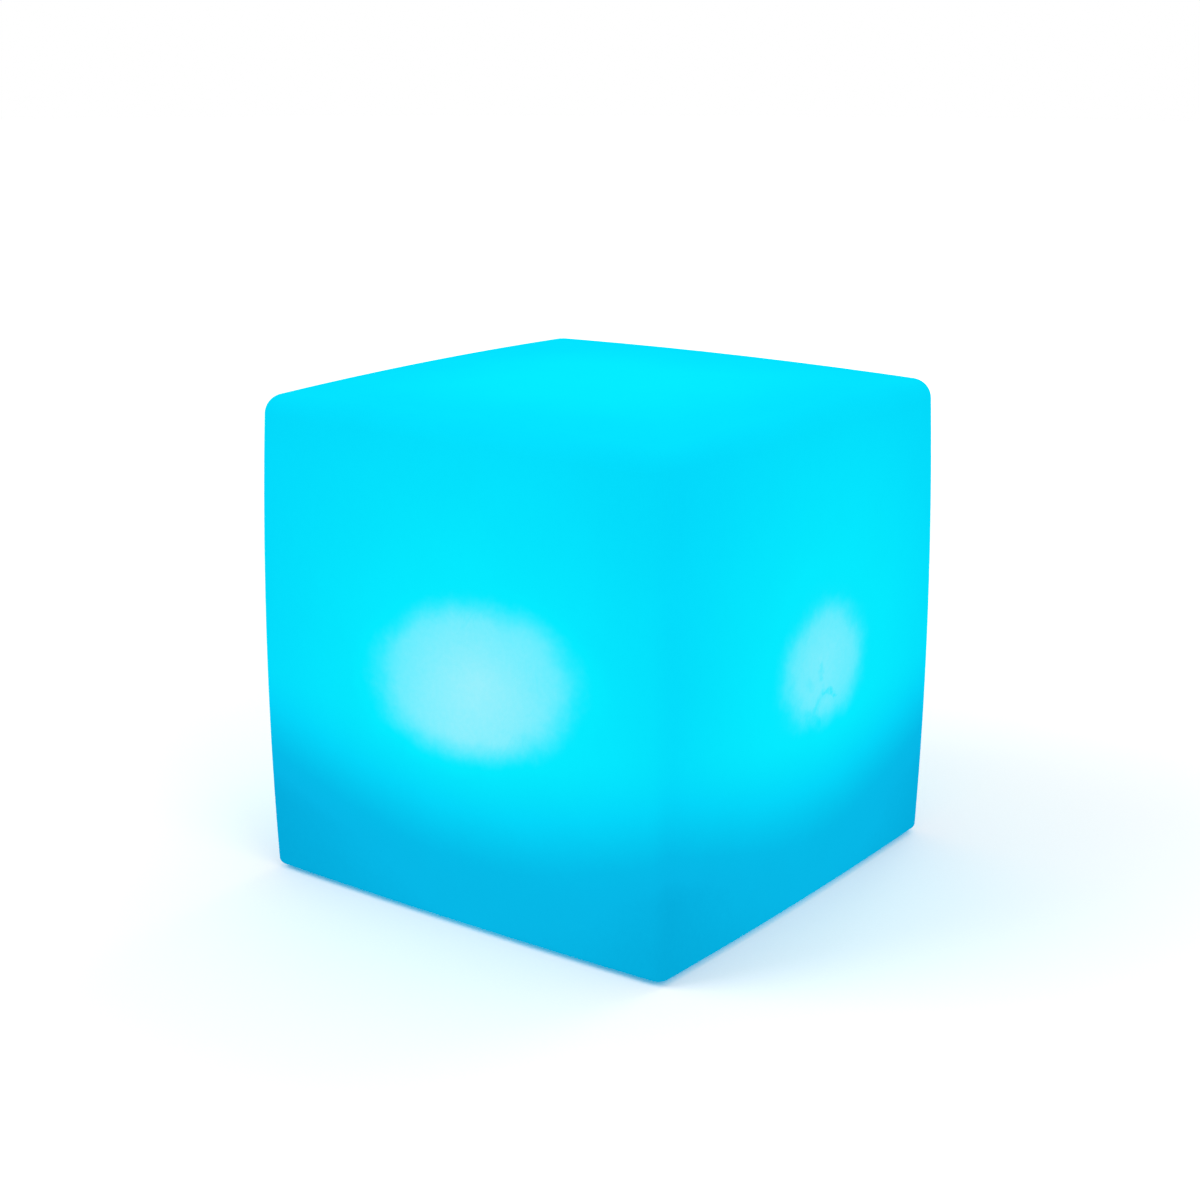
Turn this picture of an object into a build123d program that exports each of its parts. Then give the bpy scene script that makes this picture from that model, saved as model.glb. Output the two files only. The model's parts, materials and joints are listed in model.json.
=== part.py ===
from build123d import *
import math
import os

# An outdoor light cube. A rotomoulded diffuser stands on four rubber feet. A sealed lamp module
# enters through a round opening in its floor: a base plate with two push buttons and a charging
# socket behind a hinged door, a drum with the board and the battery, and a post that holds the
# light-emitting head at the middle of the cube, under a clear dome.
#
# Millimetres, +Z up. The origin is on the ground, under the middle of the cube. The front is -Y.

# ---------------------------------------------------------------- diffuser
cube_width = 196.4  # across two opposite faces, at the middle of their edges
face_crown = 1.8  # how far the middle of each side face stands out from its edges
shell_height = 196.4
top_crown = 1.2  # how far the middle of the top stands above its edges
shell_wall = 3.0
corner_radius_bottom = 5.0  # upright edges, where they meet the floor
corner_radius_extra = 1.5  # upright edges at the top, beyond the top edge's own radius
top_edge_radius = 8.0
bottom_edge_radius = 2.6
loft_overrun = 5.0  # the walls are lofted past the top, then cut by its crown

pocket_depth = 10.0  # moulded recess in the floor that takes the base plate
pocket_lip_radius = 1.2

# ---------------------------------------------------------------- feet
foot_diameter = 16.0
foot_proud = 1.5
foot_sunk = 1.0
foot_inset = 22.2  # from the cube's faces in to the middle of each foot
foot_edge_radius = 0.6

# ---------------------------------------------------------------- fits
snug = 0.05  # a piece that is pushed or moulded into its hole
easy = 0.2  # a piece that is placed in its hole by hand
touch = 0.02  # a rubber section that just fills its groove

# ---------------------------------------------------------------- base plate and its fixings
plate_clearance = 1.0  # round the plate, in the pocket
plate_thickness = 4.0
plate_edge_radius = 1.0
plate_margin = 2.8  # from the screw heads' holes out to the plate's edge
spigot_clearance = 0.4  # between the collar and the opening
collar_wall = 2.4
collar_height = 8.0
seal_land = 3.0  # flat between the opening and the main O-ring's groove
seal_groove_width = 3.0
seal_groove_depth = 2.0

fixing_count = 6
fixing_land = 1.8  # between the groove and the screw heads' holes
fixing_thread = 4.0
fixing_length = 10.0
fixing_head = 8.0
fixing_head_height = 2.2
fixing_hole_clearance = 0.25
insert_diameter = 6.0
insert_length = 8.0
insert_waist = 0.4
insert_sunk = 0.2
screw_relief = 1.0  # free space past the end of a screw
boss_diameter = 13.0
boss_cover = 3.0  # plastic over the blind end of the hole

# ---------------------------------------------------------------- charging socket and its door
jack_forward = 20.0  # from the middle of the plate towards the front
jack_barrel = 11.0
jack_flange = 15.0
jack_flange_thickness = 1.5
jack_gasket_thickness = 0.6
jack_bore = 6.0
jack_bore_depth = 9.5
jack_pin_diameter = 2.1
jack_pin_root = 3.2  # the pin is thicker inside the socket's body
jack_pin_tail = 1.2
jack_pin_short = 2.4  # how far the pin's tip stays inside the mouth
jack_barrel_length = 12.0
jack_rear = 9.0
jack_rear_length = 3.0
jack_nut_flats = 14.0
jack_nut_thickness = 2.2
recess_depth = 2.4  # shallow recess in the plate, round the socket
recess_diameter = 17.0
recess_pad = 1.6  # the plate is this much thicker inside, over the recess
recess_pad_diameter = 21.0

hinge_offset = 14.0  # from the socket's axis to the hinge pin, towards the middle
hinge_pin_diameter = 1.6
hinge_barrel = 3.6
hinge_drop = 2.3  # from the plate's underside down to the pin
hinge_play = 0.05
ear_thickness = 2.4
ear_play = 0.25
door_play = 0.3  # between the leaf and the ears
door_width = 22.0
door_reach = 28.0  # from the hinge pin to the free end
door_thickness = 2.1
door_corner_radius = 4.0
door_lip = 1.2  # finger lip at the free end
door_pad_diameter = 13.0
door_pad_sunk = 1.0
door_plug_diameter = 5.0
door_plug_length = 1.2

# ---------------------------------------------------------------- push buttons
button_side = 18.0  # from the middle, left and right
button_back = 12.0  # from the middle, towards the rear
switch_barrel = 11.8
switch_flange = 15.0
switch_flange_thickness = 2.0
switch_seal_thickness = 0.6
switch_barrel_length = 11.0
switch_rear = 10.0
switch_nut_flats = 15.0
switch_nut_thickness = 2.4
button_diameter = 8.6
button_proud = 1.6
button_travel = 0.8
button_crown = 0.35
button_stem = 3.6
button_depth = 4.0  # how far the cap reaches into its bezel
button_stem_length = 3.4
terminal_width = 2.4
terminal_thickness = 0.6
terminal_spacing = 4.4
terminal_length = 3.0

indicator_diameter = 3.0
indicator_collar = 4.8
indicator_collar_height = 1.0

# ---------------------------------------------------------------- board and battery
standoff_square = 46.6  # centre to centre of the four standoffs, both ways
standoff_diameter = 6.0
standoff_height = 15.5
rib_thickness = 1.6
rib_height = 3.0
board_diameter = 75.0
board_thickness = 1.6
board_screw = 2.5
board_screw_head = 4.6
board_screw_head_height = 1.6
board_screw_length = 10.0
tray_thickness = 2.0
tray_short = 3.5  # the tray ends this far inside the ends of the cells
tray_lug = 9.0
saddle_spread = 40.0  # centre to centre of the two saddles
saddle_thickness = 4.0
saddle_wall = 2.0
saddle_grip = 4.0  # the saddles reach this far above the middle of the cells
cell_diameter = 18.3
cell_length = 65.0
cell_gap = 0.4
cell_end_room = 8.1  # past the cells' ends, for the links, the guard circuit and the leads
cell_head_room = 2.5  # over the cells, for the ribbon
cell_button = 6.0
cell_button_height = 0.8
cell_end_radius = 0.8
link_width = 7.0
link_thickness = 0.3
guard_width = 30.0
guard_height = 10.0
guard_thickness = 1.0
lead_diameter = 1.3
lead_spacing = 2.2
lead_height = 5.0  # above the board, where the leads pass over its screws
lead_stack = 1.6  # from one lead up to the other
lead_tuck = 1.0  # how far the leads draw in from the guard circuit
lead_stub = 3.0  # straight end at the connector
lead_bends = [1.5, 4.0, 3.0, 1.5]
connector_width = 9.0
connector_depth = 5.0
connector_height = 4.4
connector_back = 30.0  # from the middle to the battery and harness connectors
coil_diameter = 7.0
coil_height = 3.2
driver_width = 6.0
driver_depth = 5.0
driver_height = 1.6
chip_side = 22.0  # from the middle to the coil and the driver, left and right
chip_forward = 8.0
processor_width = 7.0
processor_height = 1.2
processor_back = 28.0

# ---------------------------------------------------------------- lamp housing and head
housing_wall = 2.4
housing_shoulder = 7.0
housing_root_radius = 6.0
post_diameter = 28.0
post_rise = 32.0  # from the drum's roof to the top of the post
housing_screw_count = 4
housing_boss = 7.6
housing_boss_bite = 0.4  # how far the bosses run into the drum's wall
housing_boss_height = 13.5
housing_screw = 3.0
housing_screw_head = 6.0
housing_screw_length = 10.0
ring_groove_depth = 1.4  # groove for the drum's own O-ring
ring_groove_width = 1.9
ring_groove_height = 4.0  # above the plate

head_diameter = 58.0
head_thickness = 4.0
head_socket_wall = 2.2
head_socket_depth = 8.0
head_wire_hole = 8.0
dome_seal_width = 1.9
dome_seal_depth = 1.3
dome_wall = 2.0
dome_flange_reach = 2.5  # from the dome's wall out to the head's edge
dome_flange_thickness = 1.8
dome_straight = 24.0  # straight wall above the flange
dome_rise = 6.0  # height of the domed top above the straight wall
dome_shoulder = 8.0  # outer radius where the wall turns into the top
dome_ring_wall = 2.4
dome_ring_lip = 2.0
dome_ring_short = 0.5  # the ring ends this far above the head plate's underside
dome_ring_grips = 24
dome_ring_grip_depth = 0.6

light_length = 36.0  # aluminium block that carries the side boards, left to right
light_depth = 12.0
light_height = 22.0
light_edge_radius = 0.8
light_bore_length = 7.0
light_bore_depth = 5.0
light_screw_spacing = 16.0
light_screw = 2.5
light_screw_head = 4.6
light_screw_head_height = 1.6
light_screw_length = 12.0
strip_margin = 1.0  # the boards stay this far inside the block's faces
strip_thickness = 1.2
chip_size = 5.0
chip_thickness = 1.5
chip_across = 11.0  # between the chips, left to right
chip_upright = 10.0  # between the two rows
receiver_width = 6.0
receiver_depth = 4.4
receiver_height = 4.0
receiver_edge_radius = 1.0
ribbon_width = 5.0
ribbon_thickness = 0.9
ribbon_bend = 3.0

# ---------------------------------------------------------------- sizes that follow, from the cells outwards
housing_bore = cell_length / 2 + cell_end_room
housing_radius = housing_bore + housing_wall
housing_screw_circle = 2 * (housing_bore + housing_boss_bite) - housing_boss
collar_radius = housing_radius + easy + collar_wall
opening_diameter = 2 * (collar_radius + spigot_clearance)  # round hole that the lamp module enters by
seal_circle = opening_diameter + 2 * seal_land + seal_groove_width  # middle of the main O-ring
fixing_circle = seal_circle + seal_groove_width + 2 * (fixing_land + easy) + fixing_head
plate_radius = (fixing_circle + fixing_head) / 2 + easy + plate_margin
pocket_diameter = 2 * (plate_radius + plate_clearance)
foot_spacing = cube_width - 2 * foot_inset  # centre to centre, both ways
dome_diameter = head_diameter - 2 * dome_flange_reach
tray_length = cell_length - 2 * tray_short
cell_offset = (cell_diameter + cell_gap) / 2
guard_face = cell_length / 2 + cell_button_height + link_thickness

# ---------------------------------------------------------------- heights that follow, from the ground up
shell_bottom = foot_proud
shell_top = shell_bottom + shell_height
seat = shell_bottom + pocket_depth  # the pocket's ceiling, where the plate bears
plate_bottom = seat - plate_thickness
insert_hole_top = seat + insert_sunk + insert_length + screw_relief
boss_top = insert_hole_top + boss_cover
board_bottom = seat + standoff_height
board_top = board_bottom + board_thickness
tray_top = board_top + tray_thickness
cell_height = tray_top + easy + cell_diameter / 2
housing_roof = cell_height + cell_diameter / 2 + cell_head_room + housing_wall
recess_floor = plate_bottom + recess_depth
jack_mouth = recess_floor - jack_gasket_thickness - jack_flange_thickness
hinge_height = plate_bottom - hinge_drop
hinge_back = hinge_offset - jack_forward
bezel_bottom = plate_bottom - switch_seal_thickness - switch_flange_thickness
post_top = housing_roof + post_rise
head_bottom = post_top
head_top = head_bottom + head_thickness
light_top = head_top + light_height


# ---------------------------------------------------------------- helpers
def disc(diameter, bottom, top, x=0.0, y=0.0):
    """An upright cylinder between two heights."""
    return Pos(x, y, (bottom + top) / 2) * Cylinder(diameter / 2, top - bottom)


def slab(width, depth, bottom, top, x=0.0, y=0.0):
    """An upright block between two heights."""
    return Pos(x, y, (bottom + top) / 2) * Box(width, depth, top - bottom)


def ring(outer, inner, bottom, top, x=0.0, y=0.0):
    """An upright tube between two heights."""
    return disc(outer, bottom, top, x, y) - disc(inner, bottom - 1, top + 1, x, y)


def around(piece, circle, count):
    """Copies of a piece, spaced evenly on a circle of the given diameter."""
    return [place * piece for place in PolarLocations(circle / 2, count)]


def at_corners(piece, square):
    """Four copies of a piece at the corners of a square."""
    return [place * piece for place in GridLocations(square, square, 2, 2)]


def group(pieces):
    """Separate solids kept together in one node."""
    return Part() + pieces


def ball_arc(radius, rim_height, rise):
    """Arc from a rim to the Z axis. Turned round the axis it is part of a ball, up or down."""
    ball = (radius**2 + rise**2) / (2 * rise)
    centre = rim_height + rise - ball
    halfway = centre + math.copysign(math.sqrt(ball**2 - radius**2 / 4), rise)
    return ThreePointArc((radius, rim_height), (radius / 2, halfway), (0, rim_height + rise))


def o_ring(circle, section, height):
    """A rubber ring whose middle lies on the given circle."""
    return Pos(0, 0, height) * Torus(circle / 2, section / 2)


def hex_nut(flats, bore, thickness):
    """A thin hexagon nut standing on the XY plane, with its bore plain."""
    hexagon = extrude(RegularPolygon(flats / 2, 6, major_radius=False), thickness)
    return hexagon - Cylinder(bore / 2, thickness * 3)


def cross_slot(size, depth):
    """The cross-shaped drive recess of a screw, cut upwards from the XY plane."""
    width = size * 0.22
    bar = Box(size, width, depth * 2)
    return bar + Rot(0, 0, 90) * bar


def pan_screw(thread, length, head, head_height):
    """A pan-head screw pointing up. Its head bears on the XY plane from below."""
    shank = Pos(0, 0, length / 2) * Cylinder(thread / 2 - snug, length)
    cap = Pos(0, 0, -head_height / 2) * Cylinder(head / 2, head_height)
    cap = fillet(cap.edges().group_by(Axis.Z)[0], head_height * 0.4)
    slot = Pos(0, 0, -head_height) * cross_slot(head * 0.6, head_height * 0.6)
    return shank + cap - slot


def sunk_screw(thread, length, head):
    """A countersunk screw pointing up. Its flat head lies in the XY plane."""
    depth = (head - thread) / 2
    cone = Pos(0, 0, depth / 2) * Cone(head / 2, thread / 2 - snug, depth)
    shank = Pos(0, 0, length / 2) * Cylinder(thread / 2 - snug, length)
    return cone + shank - cross_slot(head * 0.55, depth * 0.8)


# ---------------------------------------------------------------- diffuser
def cube_section(height, inset):
    """The cube's outline at one height: four slightly bowed sides with rounded corners."""
    share = (height - shell_bottom) / shell_height
    swing = 2 * share - 1
    middle = cube_width / 2 + face_crown * (1 - swing**2) - inset
    corner = middle - face_crown
    radius_top = top_edge_radius + corner_radius_extra
    radius = corner_radius_bottom + (radius_top - corner_radius_bottom) * share - inset
    side = ThreePointArc((corner, -corner), (middle, 0), (corner, corner))
    outline = make_face([Rot(0, 0, 90 * turn) * side for turn in range(4)])
    outline = fillet(outline.vertices(), radius)
    return Pos(0, 0, height) * outline


def cube_solid(inset):
    """The crowned cube, or the space inside a wall of the given thickness."""
    floor = shell_bottom + inset
    ceiling = shell_top - inset
    heights = (floor, (floor + ceiling) / 2, ceiling + loft_overrun)
    walls = loft([cube_section(height, inset) for height in heights])
    crown_radius = (cube_width / 2) ** 2 / (2 * top_crown)
    lid = Pos(0, 0, shell_top - crown_radius) * Rot(90, 0, 0) * Sphere(crown_radius - inset)
    body = walls & lid
    rim = body.faces().sort_by(Axis.Z)[-1].edges()
    return fillet(rim, top_edge_radius - inset)


def diffuser_shell():
    """One-piece shell of even wall. The pocket in its floor is moulded, and the opening is cut."""
    outer = cube_solid(0)
    outer = fillet(outer.faces().sort_by(Axis.Z)[0].edges(), bottom_edge_radius)
    outer -= disc(pocket_diameter, 0, seat)
    lip = outer.edges().filter_by(GeomType.CIRCLE).group_by(Axis.Z)[0]
    lip = lip.filter_by(lambda edge: abs(edge.radius - pocket_diameter / 2) < 0.01)
    outer = fillet(lip, pocket_lip_radius)
    cavity = cube_solid(shell_wall)
    cavity -= disc(pocket_diameter + 2 * shell_wall, 0, seat + shell_wall)
    cavity -= around(disc(boss_diameter, seat, boss_top), fixing_circle, fixing_count)
    insert_hole = disc(insert_diameter, seat - 1, insert_hole_top)
    foot_hole = disc(foot_diameter + easy, 0, shell_bottom + foot_sunk)
    cuts = [disc(opening_diameter, 0, seat + 2 * shell_wall)]
    cuts += around(insert_hole, fixing_circle, fixing_count)
    cuts += at_corners(foot_hole, foot_spacing)
    return outer - cavity - cuts


def threaded_inserts():
    """Brass inserts moulded into the shell's bosses, each with a waist that locks it in."""
    bottom = seat + insert_sunk
    body = ring(insert_diameter - 2 * touch, fixing_thread, bottom, bottom + insert_length)
    third = insert_length / 3
    waist = ring(insert_diameter, insert_diameter - 2 * insert_waist, bottom + third, bottom + 2 * third)
    return group(around(body - waist, fixing_circle, fixing_count))


def foot(x, y):
    """A round rubber foot with a soft lower edge, let into the floor."""
    body = disc(foot_diameter, 0, foot_proud + foot_sunk, x, y)
    return fillet(body.edges().group_by(Axis.Z)[0], foot_edge_radius)


# ---------------------------------------------------------------- base plate
def hinge_ear():
    """One ear that holds the end of the hinge pin, drawn round the pin and rising to the plate."""
    rise = hinge_drop + plate_edge_radius
    cheek = Rot(0, 90, 0) * Cylinder(hinge_barrel / 2, ear_thickness)
    web = Pos(0, 0, rise / 2) * Box(ear_thickness, hinge_barrel, rise)
    return cheek + web - Rot(0, 90, 0) * Cylinder(hinge_pin_diameter / 2 + touch, ear_thickness * 2)


def ear_places():
    """Where the middle of each ear stands, left and right of the door's barrel."""
    side = (door_width - ear_thickness) / 2
    return [(-side, hinge_back, hinge_height), (side, hinge_back, hinge_height)]


def standoff():
    """A post that carries a corner of the board, with its screw's pilot hole."""
    body = disc(standoff_diameter, seat - 1, board_bottom)
    return body - disc(board_screw, tray_top - board_screw_length - screw_relief, board_bottom + 1)


def plate_rib():
    """A low rib from a standoff out towards the drum's wall."""
    inner = standoff_square / 2 * math.sqrt(2) + standoff_diameter / 4
    outer = housing_bore - easy
    middle = (inner + outer) / 2
    return slab(outer - inner, rib_thickness, seat - 1, seat + rib_height, middle)


def base_plate():
    """Moulded plate that closes the floor and carries the switches, the socket and the board."""
    plate = disc(2 * plate_radius, plate_bottom, seat)
    plate = fillet(plate.edges().group_by(Axis.Z)[0], plate_edge_radius)
    collar_bore = 2 * (collar_radius - collar_wall)
    plate += ring(2 * collar_radius, collar_bore, seat - 1, seat + collar_height)
    plate += at_corners(standoff(), standoff_square)
    plate += [Rot(0, 0, 45 + 90 * turn) * plate_rib() for turn in range(4)]
    plate += disc(recess_pad_diameter, seat - 1, seat + recess_pad, 0, -jack_forward)
    plate += [Pos(*place) * hinge_ear() for place in ear_places()]
    head_hole = disc(fixing_head + 2 * easy, 0, plate_bottom + fixing_head_height + easy)
    bolt_hole = disc(fixing_thread + 2 * fixing_hole_clearance, 0, seat + 1)
    screw_hole = disc(housing_screw + 2 * easy, 0, seat + 1)
    screw_hole += housing_countersink()
    switch_hole = disc(switch_barrel + 2 * snug, 0, seat + 1, 0, button_back)
    groove_outer = seal_circle + seal_groove_width
    groove_inner = seal_circle - seal_groove_width
    cuts = [ring(groove_outer, groove_inner, seat - seal_groove_depth, seat + 1)]
    cuts += around(head_hole + bolt_hole, fixing_circle, fixing_count)
    cuts += around(screw_hole, housing_screw_circle, housing_screw_count)
    cuts += [disc(recess_diameter, 0, recess_floor, 0, -jack_forward)]
    cuts += [disc(jack_barrel + 2 * snug, 0, seat + recess_pad + 1, 0, -jack_forward)]
    cuts += [Pos(side, 0, 0) * switch_hole for side in (-button_side, button_side)]
    cuts += [disc(indicator_diameter + 2 * snug, 0, seat + 1, 0, button_back)]
    return plate - cuts


def housing_countersink():
    """The cone that takes a countersunk head, open at the plate's underside."""
    depth = (housing_screw_head - housing_screw) / 2
    middle = plate_bottom + depth / 2
    return Pos(0, 0, middle) * Cone(housing_screw_head / 2 + snug, housing_screw / 2 + snug, depth)


def base_screws():
    """Six pan-head screws that hold the plate up against the shell."""
    screw = pan_screw(fixing_thread, fixing_length, fixing_head, fixing_head_height)
    bearing = plate_bottom + fixing_head_height + easy
    return group(around(Pos(0, 0, bearing) * screw, fixing_circle, fixing_count))


# ---------------------------------------------------------------- charging socket
def jack_body():
    """Panel socket: flange below the plate, threaded barrel through it, and a stepped rear."""
    y = -jack_forward
    barrel_top = recess_floor + jack_barrel_length
    body = disc(jack_flange, jack_mouth, jack_mouth + jack_flange_thickness, 0, y)
    body = fillet(body.edges().group_by(Axis.Z)[0], jack_flange_thickness * 0.4)
    step = barrel_top - jack_rear_length
    body += disc(jack_barrel, jack_mouth + jack_flange_thickness, step, 0, y)
    body += disc(jack_rear, step, barrel_top, 0, y)
    body -= disc(jack_bore, 0, jack_mouth + jack_bore_depth, 0, y)
    return body - disc(jack_pin_root + 2 * touch, 0, board_bottom, 0, y)


def jack_pin():
    """Centre contact: the pin in the bore, its thicker root, and its thin tail up to the board."""
    y = -jack_forward
    bore_floor = jack_mouth + jack_bore_depth
    root_top = recess_floor + jack_barrel_length
    pin = disc(jack_pin_diameter, jack_mouth + jack_pin_short, bore_floor + touch, 0, y)
    pin = fillet(pin.edges().group_by(Axis.Z)[0], jack_pin_diameter * 0.2)
    pin += disc(jack_pin_root, bore_floor, root_top, 0, y)
    return pin + disc(jack_pin_tail, root_top - touch, board_bottom, 0, y)


def jack_gasket():
    """Rubber washer under the socket's flange."""
    bore = jack_barrel + 2 * snug
    return ring(jack_flange - 1, bore, recess_floor - jack_gasket_thickness, recess_floor, 0, -jack_forward)


def jack_nut():
    """Hexagon nut that draws the socket up against the plate."""
    nut = hex_nut(jack_nut_flats, jack_barrel + 2 * touch, jack_nut_thickness)
    return Pos(0, -jack_forward, seat + recess_pad) * nut


def port_door():
    """The door over the socket, with its hinge barrel and a finger lip at the free end."""
    free_end = hinge_back - door_reach
    near_end = hinge_back - hinge_barrel / 2 - door_play
    outline = Pos(0, (near_end + free_end) / 2) * Rectangle(door_width, near_end - free_end)
    leaf = extrude(Pos(0, 0, hinge_height) * outline, door_thickness)
    leaf = fillet(leaf.edges().filter_by(Axis.Z).group_by(Axis.Y)[0], door_corner_radius)
    leaf = fillet(leaf.edges().group_by(Axis.Z)[0].group_by(Axis.Y)[0], door_thickness * 0.3)
    barrel_length = door_width - 2 * (ear_thickness + ear_play)
    barrel = Rot(0, 90, 0) * Cylinder(hinge_barrel / 2, barrel_length)
    bore = Rot(0, 90, 0) * Cylinder(hinge_pin_diameter / 2 + hinge_play, door_width)
    neck = Box(barrel_length, hinge_barrel, hinge_barrel / 2 - easy)
    neck = Pos(0, -hinge_barrel / 2, hinge_barrel / 4) * neck
    lip_middle = free_end + door_lip
    lip_low = hinge_height - door_lip / 2
    lip = slab(door_width / 2, door_lip, lip_low, hinge_height + door_lip / 2, 0, lip_middle)
    knuckle = barrel + neck - bore
    door = leaf + Pos(0, hinge_back, hinge_height) * knuckle + lip
    pad_floor = plate_bottom - door_pad_sunk
    return door - disc(door_pad_diameter + 2 * touch, pad_floor, seat, 0, -jack_forward)


def door_pad():
    """Soft pad in the door: a disc that closes on the socket's flange, and a short plug."""
    y = -jack_forward
    pad = disc(door_pad_diameter, plate_bottom - door_pad_sunk, jack_mouth - touch, 0, y)
    return pad + disc(door_plug_diameter, jack_mouth - 1, jack_mouth + door_plug_length, 0, y)


def hinge_pin():
    """Steel pin through both ears and the door's barrel."""
    return Pos(0, hinge_back, hinge_height) * Rot(0, 90, 0) * Cylinder(hinge_pin_diameter / 2, door_width)


# ---------------------------------------------------------------- push buttons
def switch_body():
    """Panel push switch: bezel, threaded barrel, rear can and two tabs that reach the board."""
    barrel_bottom = bezel_bottom + switch_flange_thickness
    barrel_top = barrel_bottom + switch_barrel_length
    body = disc(switch_flange, bezel_bottom, barrel_bottom)
    body = fillet(body.edges().group_by(Axis.Z)[0], switch_flange_thickness * 0.4)
    body += disc(switch_barrel, barrel_bottom, barrel_top)
    rear_top = board_bottom - terminal_length
    body += disc(switch_rear, barrel_top, rear_top)
    tab = slab(terminal_thickness, terminal_width, rear_top - 1, board_bottom)
    body += [Pos(side * terminal_spacing / 2, 0, 0) * tab for side in (-1, 1)]
    cap_hole = disc(button_diameter + 2 * easy, 0, bezel_bottom + button_depth + button_travel + easy)
    stem_top = bezel_bottom + button_depth + button_stem_length + button_travel + easy
    return body - cap_hole - disc(button_stem + 2 * easy, 0, stem_top)


def switch_seal():
    """Rubber washer between the bezel and the plate."""
    low = plate_bottom - switch_seal_thickness
    return ring(switch_flange - 1, switch_barrel + 2 * snug, low, plate_bottom)


def switch_nut():
    """Hexagon nut on the inner side of the plate."""
    return Pos(0, 0, seat) * hex_nut(switch_nut_flats, switch_barrel + 2 * touch, switch_nut_thickness)


def button():
    """Push button: a cap with a slightly domed face, and the stem behind it."""
    face = bezel_bottom - button_proud
    back = bezel_bottom + button_depth
    radius = button_diameter / 2
    sides = Polyline((0, face - button_crown), (0, back), (radius, back), (radius, face))
    cap = revolve(Plane.XZ * make_face([sides, ball_arc(radius, face, -button_crown)]), Axis.Z)
    return cap + disc(button_stem, back - 1, back + button_stem_length)


def charge_indicator():
    """Light pipe from the board down to a window in the plate."""
    pipe = disc(indicator_diameter, plate_bottom + snug, board_bottom, 0, button_back)
    return pipe + disc(indicator_collar, seat, seat + indicator_collar_height, 0, button_back)


# ---------------------------------------------------------------- board and battery
def control_board():
    """Round circuit board with a hole over each standoff."""
    board = disc(board_diameter, board_bottom, board_top)
    return board - at_corners(disc(board_screw + easy, 0, board_top + 1), standoff_square)


def board_parts():
    """What stands on the board: two connectors above, and the driver, coil and chip below."""
    plug = slab(connector_width, connector_depth, board_top, board_top + connector_height)
    rear = Pos(0, connector_back, 0) * plug
    front = Pos(0, -connector_back, 0) * plug
    coil = disc(coil_diameter, board_bottom - coil_height, board_bottom, -chip_side, -chip_forward)
    driver_low = board_bottom - driver_height
    driver = slab(driver_width, driver_depth, driver_low, board_bottom, chip_side, -chip_forward)
    chip_low = board_bottom - processor_height
    chip = slab(processor_width, processor_width, chip_low, board_bottom, 0, processor_back)
    return group([rear, front, coil, driver, chip])


def board_screws():
    """Four screws down through the tray's lugs and the board into the standoffs."""
    screw = pan_screw(board_screw, board_screw_length, board_screw_head, board_screw_head_height)
    return group(at_corners(Pos(0, 0, tray_top) * Rot(180, 0, 0) * screw, standoff_square))


def cell_rods():
    """Both cells as plain rods, grown by a clearance, for cutting their seats."""
    rod = Rot(0, 90, 0) * Cylinder(cell_diameter / 2 + easy, cell_length)
    return [Pos(0, side * cell_offset, cell_height) * rod for side in (-1, 1)]


def battery_tray():
    """Tray screwed to the board, with two saddles that snap round the cells."""
    width = 2 * (cell_offset + cell_diameter / 2 + saddle_wall)
    tray = slab(tray_length, width, board_top, tray_top)
    lug = slab(tray_lug, tray_lug, board_top, tray_top)
    tray += at_corners(lug, standoff_square)
    saddle = slab(saddle_thickness, width, board_top, cell_height + saddle_grip)
    tray += [Pos(side * saddle_spread / 2, 0, 0) * saddle for side in (-1, 1)]
    tray -= slab(tray_length, 2 * cell_offset, cell_height, cell_height + 2 * saddle_grip)
    tray -= cell_rods()
    return tray - at_corners(disc(board_screw + easy, 0, tray_top + 1), standoff_square)


def battery_cell(side):
    """One cylindrical cell lying left to right, with its raised contact to the right."""
    body = Rot(0, 90, 0) * Cylinder(cell_diameter / 2, cell_length)
    body = fillet(body.edges().filter_by(GeomType.CIRCLE), cell_end_radius)
    button_x = (cell_length + cell_button_height) / 2
    body += Pos(button_x, 0, 0) * Rot(0, 90, 0) * Cylinder(cell_button / 2, cell_button_height)
    return Pos(0, side * cell_offset, cell_height) * body


def battery_links():
    """Nickel strips that join the two cells at each end."""
    width = 2 * cell_offset + cell_button
    left = slab(link_thickness, width, 0, link_width, -(cell_length + link_thickness) / 2)
    right_x = cell_length / 2 + cell_button_height + link_thickness / 2
    right = slab(link_thickness, width, 0, link_width, right_x)
    return group([Pos(0, 0, cell_height - link_width / 2) * strip for strip in (left, right)])


def protection_board():
    """Small guard circuit across the right-hand ends of the cells."""
    low = cell_height - guard_height / 2
    return slab(guard_thickness, guard_width, low, low + guard_height, guard_face + guard_thickness / 2)


def tube_along(points, bends, diameter):
    """A round lead along straight runs joined by tangent arcs."""
    path = FilletPolyline(*points, radius=bends)
    return sweep(Plane(path @ 0, z_dir=path % 0) * Circle(diameter / 2), path=path)


def battery_leads():
    """Two leads from the guard circuit, round the rear cell and over the tray, to the connector."""
    x = guard_face + guard_thickness + lead_diameter / 2 + touch
    plug_height = board_top + connector_height / 2
    leads = []
    for step in (0, 1):
        start_y = lead_spacing * (1 + step)
        run_height = board_top + lead_height + step * lead_stack
        end_y = connector_back - lead_spacing / 2 + step * lead_spacing
        points = [
            (x, start_y, cell_height),
            (x, start_y, run_height),
            (x - lead_tuck, cell_diameter, run_height),
            (connector_back / 2, end_y, run_height),
            (connector_width / 2 + lead_stub, end_y, plug_height),
            (connector_width / 2 + touch, end_y, plug_height),
        ]
        leads.append(tube_along(points, lead_bends, lead_diameter))
    return group(leads)


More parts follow.
